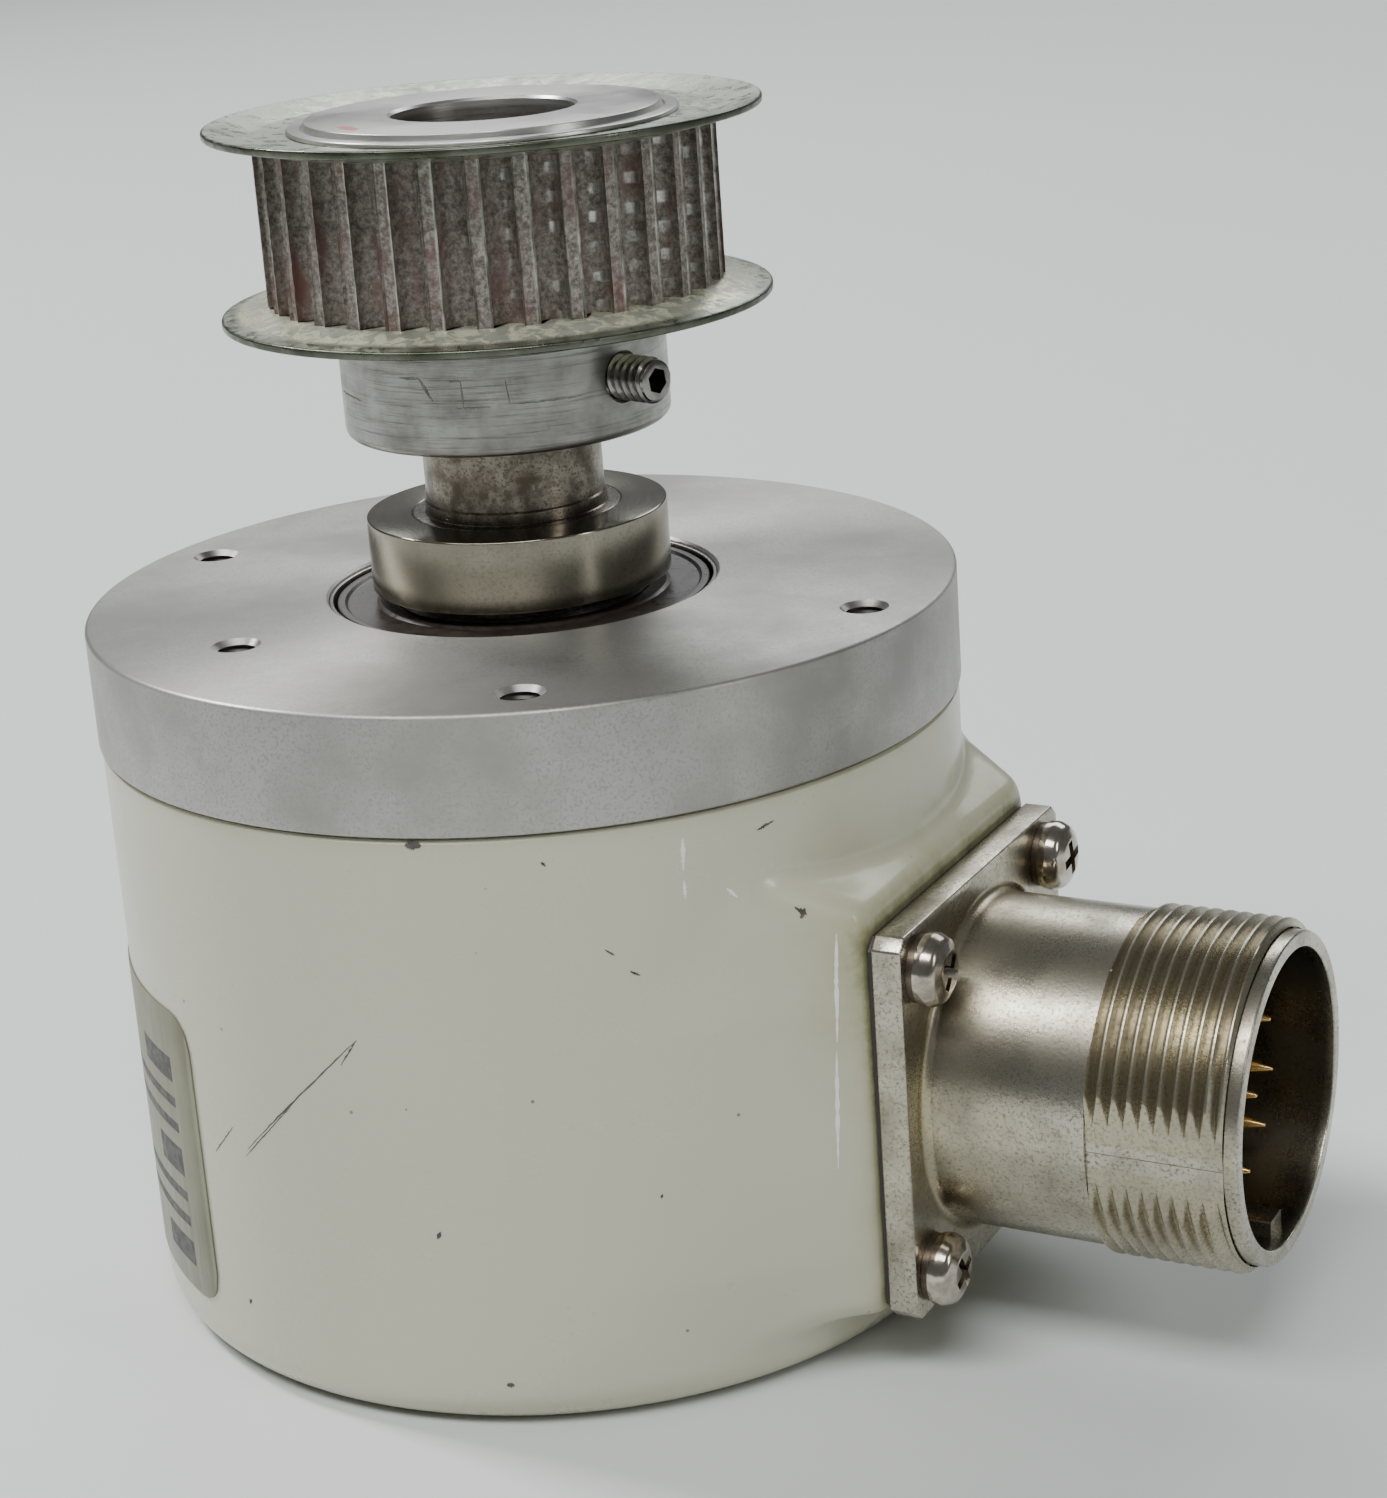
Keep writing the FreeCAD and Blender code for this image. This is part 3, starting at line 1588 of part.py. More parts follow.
def wire_along(points, radius):
    """A round wire along straight runs joined by one tangent arc at the bend."""
    start, bend, end = points
    first = start - bend
    second = end - bend
    turn = math.pi - first.getAngle(second)
    shorter = min(first.Length, second.Length)
    back = BEND_SHARE * shorter
    arc_radius = back / math.tan(turn / 2)
    leave = bend + first.normalize() * back
    arrive = bend + second.normalize() * back
    inward = (first + second).normalize()
    apex = bend + inward * (arc_radius / math.cos(turn / 2) - arc_radius)
    edges = [
        Part.LineSegment(start, leave).toShape(),
        Part.Arc(leave, apex, arrive).toShape(),
        Part.LineSegment(arrive, end).toShape(),
    ]
    path = Part.Wire(edges)
    direction = (bend - start).normalize()
    section = Part.Wire([Part.makeCircle(radius, start, direction)])
    tube = path.makePipeShell([section], True, False)
    expected = math.pi * radius**2 * path.Length
    if abs(tube.Volume - expected) > 0.02 * expected:
        raise RuntimeError("harness wire: the tube's volume is off")
    print(f"wire bend radius {arc_radius:.2f} mm, length {path.Length:.1f} mm")
    return tube


def check_and_write():
    """Stops on any failed object, then writes each sub-part."""
    doc.recompute()
    for thing in doc.Objects:
        if "Invalid" in thing.State or "Error" in thing.State:
            raise RuntimeError(f"{thing.Label} failed: {thing.State}")
    for piece in PIECES:
        if piece.Shape.isNull() or not piece.Shape.isValid():
            raise RuntimeError(f"{piece.Label}: bad shape")
    os.makedirs("parts", exist_ok=True)
    for piece in PIECES:
        piece.Shape.exportStep(f"parts/{piece.Label}.step")
        print(f"{piece.Label:28s} {len(piece.Shape.Solids):3d} {piece.Shape.Volume:12.2f}")
    print(len(PIECES), "sub-parts")


doc = FreeCAD.newDocument("rotary_encoder")
d = Sheet(doc, DIMENSIONS)
PIECES = []

make_front_flange()
make_cover_shell()
make_cover_o_ring()
make_rating_label()
make_cover_pillars()
make_cover_screws()
make_connector_gasket()
make_connector_shell()
make_connector_insulator()
make_connector_pins()
make_connector_screws()
make_connector_lock_washers()
make_bearing("front", d.flange_top - d.bearing_recess - d.bearing_width)
make_bearing("rear", d.rear_bearing_bottom)
make_preload_spring()
make_shaft()
make_shaft_collar()
make_bearing_spacer()
make_shaft_retaining_ring()
make_pulley_body()
lower_flange_low = d.tooth_bottom - d.rim_thickness
make_pulley_flange(
    "pulley_lower_flange", d.lower_seat, lower_flange_low, lower_flange_low - d.rim_dish
)
make_pulley_flange("pulley_upper_flange", d.rim_seat, d.tooth_top, d.tooth_top + d.rim_dish)
make_pulley_set_screws()
make_disc_hub()
make_hub_grub_screws()
make_code_disc()
make_disc_clamp()
make_detector_board()
make_board("processor_board", d.processor_bottom)
make_board_standoffs()
make_board_spacers()
make_board_screws()
make_optics()
make_components()
make_harness()
check_and_write()
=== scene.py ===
import json
import math
import random

import bmesh
import bpy
import numpy as np
from mathutils import Matrix, Vector


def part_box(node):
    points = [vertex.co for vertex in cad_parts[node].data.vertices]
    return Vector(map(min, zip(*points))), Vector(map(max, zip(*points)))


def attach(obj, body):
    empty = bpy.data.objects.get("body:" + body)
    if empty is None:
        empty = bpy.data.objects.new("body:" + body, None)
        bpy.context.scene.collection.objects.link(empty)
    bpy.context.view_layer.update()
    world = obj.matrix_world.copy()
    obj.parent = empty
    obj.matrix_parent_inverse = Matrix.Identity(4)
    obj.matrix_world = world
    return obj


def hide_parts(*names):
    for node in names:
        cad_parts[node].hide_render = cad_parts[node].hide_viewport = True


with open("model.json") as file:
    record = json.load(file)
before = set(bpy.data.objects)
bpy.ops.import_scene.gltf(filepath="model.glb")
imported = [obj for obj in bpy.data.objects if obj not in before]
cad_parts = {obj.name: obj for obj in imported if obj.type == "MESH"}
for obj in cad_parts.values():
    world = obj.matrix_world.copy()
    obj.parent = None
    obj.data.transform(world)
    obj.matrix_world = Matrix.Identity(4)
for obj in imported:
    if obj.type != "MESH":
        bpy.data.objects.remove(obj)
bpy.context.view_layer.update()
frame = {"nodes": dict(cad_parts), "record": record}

random.seed(7)
MM = 0.001


# --- Places, all from the frame ----------------------------------------------------------


def top(node):
    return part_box(node)[1].z


def bottom(node):
    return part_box(node)[0].z


def reach(node):
    """Outside radius of a round node about the shaft, or its furthest point along +Y."""
    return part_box(node)[1].y


FLANGE_TOP = top("front_flange")
FLANGE_RADIUS = reach("front_flange")
COVER_TOP = top("cover_shell")
COVER_RADIUS = reach("cover_shell")
COVER_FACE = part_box("cover_shell")[1].x
COLLAR_RADIUS = reach("shaft_collar")
COLLAR_BOTTOM = bottom("shaft_collar")
COLLAR_TOP = top("shaft_collar")
SHAFT_TOP = top("shaft")
BEARING_TOP = top("front_bearing_outer_ring")
BEARING_RADIUS = reach("front_bearing_outer_ring")
SHIELD_RADIUS = reach("front_bearing_shields")
HUB_BOTTOM = bottom("pulley_body")
PULLEY_TOP = top("pulley_body")
PULLEY_RADIUS = reach("pulley_body")
LOWER_FLANGE = (bottom("pulley_lower_flange"), top("pulley_lower_flange"))
UPPER_FLANGE = (bottom("pulley_upper_flange"), top("pulley_upper_flange"))
RIM_RADIUS = reach("pulley_upper_flange")
RIM_THICKNESS = 0.9 * MM
SHELL_LOW, SHELL_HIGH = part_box("connector_shell")
SHELL_END = SHELL_HIGH.x
PLATE_HALF = (SHELL_HIGH.y - SHELL_LOW.y) / 2
SOCKET_HEIGHT = (SHELL_HIGH.z + SHELL_LOW.z) / 2
PLATE_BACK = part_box("connector_gasket")[1].x
PLATE_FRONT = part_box("connector_lock_washers")[0].x
WASHER_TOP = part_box("connector_lock_washers")[1].x
INSULATOR_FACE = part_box("connector_insulator")[1].x
PIN_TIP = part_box("connector_pins")[1].x
SCREW_REACH = (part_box("connector_screws")[1].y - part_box("connector_screws")[0].y) / 2

# Local axes of the receptacle: +Z out of its mouth, +Y up
SOCKET = Matrix(
    ((0, 0, 1, 0), (1, 0, 0, 0), (0, 1, 0, SOCKET_HEIGHT), (0, 0, 0, 1))
)


# --- Camera, floor and lights ------------------------------------------------------------

CAMERA_AZIMUTH = math.radians(27.25)
CAMERA_ELEVATION = math.radians(18.08)
CAMERA_ROLL = math.radians(3.57)
CAMERA_DISTANCE = 0.3570
CAMERA_ACROSS = 0.02892
CAMERA_DOWN = 0.01519
LENS = 75.77
SHIFT = (-0.0571, -0.0235)


def make_camera():
    """Looks at the flange from a hand's height, a little turned about its own axis."""
    sine, cosine = math.sin(CAMERA_AZIMUTH), math.cos(CAMERA_AZIMUTH)
    level = math.cos(CAMERA_ELEVATION)
    back = Vector((level * sine, -level * cosine, math.sin(CAMERA_ELEVATION)))
    right = Vector((cosine, sine, 0))
    up = back.cross(right)
    turn_cos, turn_sin = math.cos(CAMERA_ROLL), math.sin(CAMERA_ROLL)
    across = right * turn_cos - up * turn_sin
    above = right * turn_sin + up * turn_cos
    aim = Vector((0, 0, FLANGE_TOP))
    place = aim + back * CAMERA_DISTANCE + across * CAMERA_ACROSS - above * CAMERA_DOWN
    data = bpy.data.cameras.new("camera")
    data.lens = LENS
    data.shift_x, data.shift_y = SHIFT
    camera = bpy.data.objects.new("camera", data)
    bpy.context.scene.collection.objects.link(camera)
    camera.matrix_world = Matrix(
        [(across[i], above[i], back[i], place[i]) for i in range(3)] + [(0, 0, 0, 1)]
    )
    bpy.context.scene.camera = camera


def make_floor():
    """A wide pale table top."""
    half = 4.0
    mesh = bpy.data.meshes.new("floor")
    corners = [(-half, -half, 0), (half, -half, 0), (half, half, 0), (-half, half, 0)]
    mesh.from_pydata(corners, [], [(0, 1, 2, 3)])
    floor = bpy.data.objects.new("floor", mesh)
    bpy.context.scene.collection.objects.link(floor)
    paint = Finish("floor_paint", (0.68, 0.69, 0.675), 0.62)
    cloud = paint.noise(paint.spot(), 3.0, detail=2)
    paint.colour(paint.mix((0.66, 0.69, 0.68), (0.69, 0.715, 0.705), cloud))
    mesh.materials.append(paint.material)


def make_light(name, place, size, power, colour=(1, 1, 1)):
    """A soft rectangular light aimed at the middle of the object."""
    data = bpy.data.lights.new(name, "AREA")
    data.shape = "RECTANGLE"
    data.size, data.size_y = size
    data.energy = power
    data.color = colour
    light = bpy.data.objects.new(name, data)
    bpy.context.scene.collection.objects.link(light)
    light.location = place
    aim = Vector((0.02, 0, 0.07)) - Vector(place)
    light.rotation_euler = aim.to_track_quat("-Z", "Y").to_euler()


def make_lights():
    world = bpy.data.worlds.new("studio")
    bpy.context.scene.world = world
    world.use_nodes = True
    world.node_tree.nodes["Background"].inputs["Color"].default_value = (0.80, 0.83, 0.85, 1)
    world.node_tree.nodes["Background"].inputs["Strength"].default_value = 0.18
    make_light("back", (-0.40, 1.90, 1.35), (2.4, 0.85), 22.0, (0.97, 0.99, 1.0))
    make_light("key", (-1.35, 0.08, 1.50), (0.30, 0.30), 30.0)
    make_light("ceiling", (0.10, -1.15, 2.00), (2.2, 0.60), 46.0)
    make_light("window", (1.60, -0.15, 0.80), (0.18, 0.60), 4.0)


# --- Materials ---------------------------------------------------------------------------


class Finish:
    """A Principled material, with short calls for the nodes that vary it."""

    def __init__(self, name, colour, roughness, metallic=0.0, **uniform):
        self.material = bpy.data.materials.new(name)
        self.material.use_nodes = True
        self.tree = self.material.node_tree
        self.shader = self.tree.nodes["Principled BSDF"]
        self.set("Base Color", (*colour[:3], 1.0))
        self.set("Roughness", roughness)
        self.set("Metallic", metallic)
        for socket, value in uniform.items():
            self.set(socket.replace("_", " "), value)

    def set(self, socket, value):
        self.shader.inputs[socket].default_value = value

    def link(self, output, node, socket):
        self.tree.links.new(output, node.inputs[socket])

    def feed(self, value, node, socket):
        """Sets a socket from a number, a colour or another node's output."""
        if isinstance(value, bpy.types.NodeSocket):
            self.link(value, node, socket)
        elif isinstance(value, tuple) and len(value) == 3 and node.inputs[socket].type == "RGBA":
            node.inputs[socket].default_value = (*value, 1.0)
        else:
            node.inputs[socket].default_value = value

    def spot(self):
        """A point's own place on its piece, in metres."""
        return self.tree.nodes.new("ShaderNodeTexCoord").outputs["Object"]

    def parts(self, vector):
        node = self.tree.nodes.new("ShaderNodeSeparateXYZ")
        self.link(vector, node, 0)
        return node.outputs[0], node.outputs[1], node.outputs[2]

    def joined(self, x, y, z):
        node = self.tree.nodes.new("ShaderNodeCombineXYZ")
        for index, value in enumerate((x, y, z)):
            self.feed(value, node, index)
        return node.outputs[0]

    def math(self, operation, a, b=0.0, c=0.0, clamp=False):
        node = self.tree.nodes.new("ShaderNodeMath")
        node.operation = operation
        node.use_clamp = clamp
        for index, value in enumerate((a, b, c)):
            self.feed(value, node, index)
        return node.outputs[0]

    def radius(self, vector):
        """Distance from the piece's Z axis."""
        x, y, z = self.parts(vector)
        square = self.math("ADD", self.math("MULTIPLY", x, x), self.math("MULTIPLY", y, y))
        return self.math("SQRT", square)

    def turned_place(self, across=1.0, around=0.02):
        """Coordinates that run across lathe marks quickly and along them slowly."""
        place = self.spot()
        x, y, z = self.parts(place)
        drift = self.math("MULTIPLY", self.math("ADD", x, self.math("MULTIPLY", y, 0.7)), around)
        r = self.math("MULTIPLY", self.radius(place), across)
        height = self.math("MULTIPLY", z, across)
        return self.joined(self.math("ADD", r, drift), self.math("ADD", height, drift), drift)

    def stretched(self, scales):
        node = self.tree.nodes.new("ShaderNodeVectorMath")
        node.operation = "MULTIPLY"
        self.link(self.spot(), node, 0)
        node.inputs[1].default_value = scales
        return node.outputs[0]

    def noise(self, vector, scale, detail=4.0, roughness=0.55, distortion=0.0):
        node = self.tree.nodes.new("ShaderNodeTexNoise")
        self.link(vector, node, "Vector")
        node.inputs["Scale"].default_value = scale
        node.inputs["Detail"].default_value = detail
        node.inputs["Roughness"].default_value = roughness
        node.inputs["Distortion"].default_value = distortion
        return node.outputs["Fac"]

    def cells(self, vector, scale):
        node = self.tree.nodes.new("ShaderNodeTexVoronoi")
        self.link(vector, node, "Vector")
        node.inputs["Scale"].default_value = scale
        return node.outputs["Distance"]

    def span(self, value, low, high, to_low=0.0, to_high=1.0):
        """Maps a value from one range to another, clamped at both ends."""
        node = self.tree.nodes.new("ShaderNodeMapRange")
        self.feed(value, node, "Value")
        node.inputs["From Min"].default_value = low
        node.inputs["From Max"].default_value = high
        node.inputs["To Min"].default_value = to_low
        node.inputs["To Max"].default_value = to_high
        return node.outputs["Result"]

    def mix(self, a, b, factor):
        node = self.tree.nodes.new("ShaderNodeMix")
        node.data_type = "RGBA"
        self.feed(factor, node, "Factor")
        for socket, value in ((6, a), (7, b)):
            if isinstance(value, tuple):
                node.inputs[socket].default_value = (*value, 1.0)
            else:
                self.link(value, node, socket)
        return node.outputs[2]

    def painted(self, name):
        """A mask stored on the piece's points."""
        node = self.tree.nodes.new("ShaderNodeAttribute")
        node.attribute_name = name
        return node.outputs["Fac"]

    def colour(self, output):
        self.link(output, self.shader, "Base Color")

    def roughness(self, output):
        self.link(output, self.shader, "Roughness")

    def bump(self, height, strength, distance):
        node = self.tree.nodes.new("ShaderNodeBump")
        self.link(height, node, "Height")
        node.inputs["Strength"].default_value = strength
        node.inputs["Distance"].default_value = distance
        self.link(node.outputs["Normal"], self.shader, "Normal")


def turned_metal(name, light, dark, rough, grain=9000.0, depth=0.01 * MM, stain=60.0):
    """Bare metal off a lathe: fine rings, uneven shine, faint smudges and painted shade inside tapped
    holes.
    """
    finish = Finish(
        name, light, sum(rough) / 2, metallic=1.0, Anisotropic=0.65, Anisotropic_Rotation=0.25
    )
    rings = finish.noise(finish.turned_place(), grain, detail=5, roughness=0.7)
    smudge = finish.noise(finish.spot(), stain, detail=5, roughness=0.62)
    fleck = finish.noise(finish.spot(), 3200.0, detail=2)
    base = finish.mix(dark, light, finish.span(smudge, 0.36, 0.58))
    base = finish.mix(base, dark, finish.span(fleck, 0.50, 0.66))
    # Painted shade: near black where the piece's inside mask is set, down the walls of the flange's
    # tapped holes
    finish.colour(finish.mix(base, (0.035, 0.034, 0.03), finish.painted("inside")))
    wear = finish.math("ADD", finish.span(smudge, 0.3, 0.7, 0.6, 0.0), rings)
    finish.roughness(finish.span(wear, 0.35, 1.15, rough[0], rough[1]))
    finish.bump(rings, 0.35, depth)
    return finish


def scored_aluminium():
    """Bright aluminium with coarse tool marks that run round it in broken lines, and painted light on
    its top face.
    """
    finish = Finish(
        "hub_aluminium", (0.4, 0.4, 0.38), 0.35, metallic=1.0, Anisotropic=0.5,
        Anisotropic_Rotation=0.25,
    )
    lines = finish.noise(finish.stretched((0.03, 0.03, 1)), 2600.0, detail=4, roughness=0.75)
    broad = finish.noise(finish.stretched((0.12, 0.12, 1)), 420.0, detail=3)
    face = finish.noise(finish.turned_place(), 5200.0, detail=4)
    smudge = finish.noise(finish.spot(), 170.0, detail=5, roughness=0.65)
    base = finish.mix((0.23, 0.225, 0.205), (0.35, 0.35, 0.33), finish.span(smudge, 0.34, 0.62))
    base = finish.mix(base, (0.13, 0.122, 0.105), finish.span(lines, 0.53, 0.68, 0.0, 0.85))
    # Painted light: the top face gets a much lighter base colour than the sides
    height = finish.parts(finish.spot())[2]
    lit_top_face = finish.span(height, PULLEY_TOP - 1.2 * MM, PULLEY_TOP - 0.8 * MM)
    base = finish.mix(base, (0.58, 0.58, 0.555), finish.math("MULTIPLY", lit_top_face, 0.85))
    finish.colour(base)
    uneven = finish.math("ADD", finish.span(smudge, 0.3, 0.7, 0.5, 0.0), broad)
    finish.roughness(finish.span(uneven, 0.3, 1.05, 0.24, 0.42))
    cut = finish.math("ADD", lines, finish.math("MULTIPLY", face, 0.35))
    finish.bump(cut, 0.7, 0.00006)
    return finish


def simple_metal(name, light, dark, rough, scale=250.0, depth=0.00002):
    finish = Finish(name, light, sum(rough) / 2, metallic=1.0)
    mottle = finish.noise(finish.spot(), scale, detail=6, roughness=0.65)
    finish.colour(finish.mix(dark, light, finish.span(mottle, 0.36, 0.6)))
    finish.roughness(finish.span(mottle, 0.3, 0.7, rough[1], rough[0]))
    finish.bump(mottle, 0.3, depth)
    return finish


def moulded(name, light, dark, rough, scale=900.0, **uniform):
    finish = Finish(name, light, sum(rough) / 2, **uniform)
    grain = finish.noise(finish.spot(), scale, detail=4)
    finish.colour(finish.mix(dark, light, finish.span(grain, 0.35, 0.62)))
    finish.roughness(finish.span(grain, 0.3, 0.7, rough[0], rough[1]))
    finish.bump(grain, 0.25, 0.00002)
    return finish


def cream_paint():
    """Glossy enamel, a little yellowed, with grime where it meets other pieces."""
    finish = Finish("cream_paint", (0.50, 0.49, 0.41), 0.3, Coat_Weight=0.35, Coat_Roughness=0.12)
    place = finish.spot()
    drift = finish.noise(place, 18.0, detail=3)
    base = finish.mix((0.52, 0.505, 0.39), (0.565, 0.555, 0.44), drift)
    patch = finish.noise(place, 160.0, detail=5, roughness=0.7)
    grime = finish.math(
        "MULTIPLY", finish.painted("grime"), finish.span(patch, 0.3, 0.62, 0.45, 1.0)
    )
    yellowed = finish.mix(base, (0.33, 0.325, 0.165), finish.math("MULTIPLY", grime, 0.8, clamp=True))
    dirty = finish.mix(yellowed, (0.075, 0.07, 0.04), finish.span(grime, 0.9, 2.2))
    speck = finish.cells(place, 210.0)
    rare = finish.noise(place, 95.0, detail=1)
    dot = finish.math(
        "MULTIPLY", finish.span(speck, 0.035, 0.055, 1.0, 0.0), finish.span(rare, 0.52, 0.58)
    )
    finish.colour(finish.mix(dirty, (0.10, 0.095, 0.07), finish.math("MULTIPLY", dot, 0.8)))
    rub = finish.noise(place, 40.0, detail=6, roughness=0.7)
    shine = finish.span(rub, 0.35, 0.7, 0.22, 0.40)
    finish.roughness(finish.math("ADD", shine, finish.math("MULTIPLY", grime, 0.15)))
    peel = finish.noise(place, 700.0, detail=2)
    finish.bump(peel, 0.12, 0.00004)
    return finish


def nickel_plate():
    """Dull plating: speckled, brassy in the corners where it has worn thin, with painted shade inside
    the mouth.
    """
    finish = Finish("nickel_plate", (0.56, 0.53, 0.46), 0.3, metallic=1.0)
    place = finish.spot()
    speckle = finish.noise(place, 2600.0, detail=3, roughness=0.7)
    blotch = finish.noise(place, 130.0, detail=5, roughness=0.6)
    base = finish.mix((0.32, 0.29, 0.23), (0.54, 0.51, 0.43), finish.span(blotch, 0.35, 0.6))
    base = finish.mix(base, (0.21, 0.19, 0.14), finish.span(speckle, 0.50, 0.68))
    brassy = finish.math("MULTIPLY", finish.painted("worn"), finish.span(blotch, 0.25, 0.6))
    base = finish.mix(base, (0.38, 0.33, 0.19), brassy)
    # Painted shade: dark olive down the inside of the mouth, from the inside mask
    finish.colour(finish.mix(base, (0.115, 0.105, 0.072), finish.painted("inside")))
    dull = finish.span(speckle, 0.5, 0.8, 0.0, 0.14)
    finish.roughness(finish.math("ADD", finish.span(blotch, 0.3, 0.65, 0.36, 0.22), dull))
    finish.bump(speckle, 0.55, 0.00003)
    return finish


def tooth_metal():
    """Aluminium teeth: worn to bright metal at the lips, with painted highlights on the lips and
    flanks, brown belt dust packed in the grooves.
    """
    finish = Finish("tooth_metal", (0.5, 0.5, 0.48), 0.4, metallic=0.6)
    place = finish.spot()
    fleck = finish.noise(place, 1500.0, detail=5, roughness=0.8)
    cloud = finish.noise(finish.stretched((1, 1, 0.35)), 330.0, detail=4)
    streak = finish.noise(finish.stretched((1, 1, 0.12)), 1900.0, detail=3)
    dust = finish.mix((0.105, 0.090, 0.076), (0.37, 0.335, 0.295), finish.span(fleck, 0.40, 0.68))
    dust = finish.mix(dust, (0.16, 0.085, 0.074), finish.span(cloud, 0.50, 0.68))
    metal = finish.mix((0.33, 0.33, 0.30), (0.80, 0.80, 0.75), finish.span(streak, 0.35, 0.62))
    # The mask holds real wear at the lips plus painted highlights on one lip and on the flanks
    bare_and_glint = finish.math("ADD", finish.painted("bare_and_glint"), finish.span(fleck, 0.3, 0.7, -0.22, 0.22))
    bare_and_glint = finish.span(bare_and_glint, 0.12, 0.95)
    finish.colour(finish.mix(dust, metal, bare_and_glint))
    finish.roughness(finish.span(bare_and_glint, 0.0, 1.0, 0.50, 0.28))
    finish.link(finish.span(bare_and_glint, 0.0, 0.6, 0.25, 0.95), finish.shader, "Metallic")
    finish.bump(fleck, 0.6, 0.00005)
    return finish


def zinc_plate():
    """Dull greenish zinc: mottled, with a painted highlight in rippled blotches near the teeth of the
    lower flange, and dark round its rim.
    """
    finish = Finish("zinc_plate", (0.45, 0.47, 0.42), 0.36, metallic=1.0)
    place = finish.spot()
    mottle = finish.noise(place, 1400.0, detail=4, roughness=0.7)
    cloud = finish.noise(place, 110.0, detail=4)
    ripple = finish.noise(place, 620.0, detail=3, distortion=0.6)
    base = finish.mix((0.31, 0.33, 0.265), (0.47, 0.49, 0.41), finish.span(cloud, 0.35, 0.62))
    base = finish.mix(base, (0.25, 0.27, 0.19), finish.span(mottle, 0.56, 0.75))
    reach_out = finish.radius(place)
    height = finish.parts(place)[2]
    # Painted highlight: pale yellowish blotches on the lower flange's face near the teeth, where it
    # would catch light
    lower = finish.span(height, LOWER_FLANGE[1] + MM, LOWER_FLANGE[1] + 2 * MM, 1.0, 0.0)
    inside = finish.span(reach_out, RIM_RADIUS - 2.0 * MM, RIM_RADIUS - 1.2 * MM, 1.0, 0.0)
    glow = finish.math("MULTIPLY", lower, inside)
    painted_glint = finish.math("MULTIPLY", finish.span(ripple, 0.47, 0.57), glow)
    base = finish.mix(base, (0.86, 0.86, 0.62), finish.math("MULTIPLY", painted_glint, 0.9))
    finish.link(finish.span(glow, 0.0, 1.0, 1.0, 0.55), finish.shader, "Metallic")
    # Darker band round the outer rim of each side flange
    rim = finish.span(reach_out, RIM_RADIUS - 0.34 * MM, RIM_RADIUS - 0.18 * MM)
    rim_darkening = finish.math("MULTIPLY", rim, finish.span(cloud, 0.35, 0.6, 1.0, 0.8))
    finish.colour(finish.mix(base, (0.06, 0.065, 0.045), rim_darkening))
    finish.roughness(finish.span(ripple, 0.35, 0.65, 0.46, 0.24))
    finish.bump(finish.math("ADD", mottle, finish.math("MULTIPLY", ripple, 3.0)), 0.5, 0.00004)
    return finish


def label_foil():
    finish = Finish("label_foil", (0.19, 0.185, 0.135), 0.36, metallic=0.35)
    place = finish.spot()
    grain = finish.noise(finish.stretched((1, 1, 0.05)), 1500.0, detail=4)
    cloud = finish.noise(place, 90.0, detail=4)
    finish.colour(finish.mix((0.185, 0.18, 0.12), (0.24, 0.235, 0.165), finish.span(cloud, 0.35, 0.65)))
    finish.roughness(finish.span(grain, 0.3, 0.7, 0.30, 0.46))
    finish.bump(grain, 0.2, 0.00001)
    return finish


def clear_glass(name, tint):
    finish = Finish(name, tint, 0.05, Transmission_Weight=0.85, IOR=1.5)
    smear = finish.noise(finish.spot(), 300.0, detail=4)
    finish.roughness(finish.span(smear, 0.4, 0.7, 0.03, 0.12))
    return finish


# Light and dark colour, both ends of the roughness and whatever else differs
TURNED_METALS = {
    "machined_aluminium": ((0.465, 0.46, 0.435), (0.36, 0.352, 0.33), (0.38, 0.52), {}),
    "bearing_steel": ((0.50, 0.49, 0.46), (0.34, 0.32, 0.29), (0.18, 0.34), {}),
    "stained_steel": ((0.24, 0.215, 0.175), (0.11, 0.092, 0.072), (0.20, 0.36), {"stain": 420.0}),
    "polished_steel": ((0.32, 0.30, 0.24), (0.25, 0.235, 0.18), (0.12, 0.24), {}),
}
SIMPLE_METALS = {
    "plated_steel": ((0.56, 0.56, 0.53), (0.42, 0.42, 0.38), (0.22, 0.36), {}),
    "dark_steel": ((0.20, 0.165, 0.13), (0.09, 0.07, 0.055), (0.3, 0.5), {}),
    "black_oxide": ((0.30, 0.29, 0.27), (0.13, 0.125, 0.115), (0.14, 0.30), {}),
    "cage_brass": ((0.62, 0.45, 0.18), (0.45, 0.31, 0.12), (0.22, 0.36), {}),
    "gold_contacts": ((0.86, 0.60, 0.25), (0.66, 0.42, 0.15), (0.16, 0.30), {"scale": 900.0}),
    "screw_nickel": ((0.56, 0.52, 0.45), (0.34, 0.29, 0.23), (0.12, 0.24), {"scale": 620.0}),
}
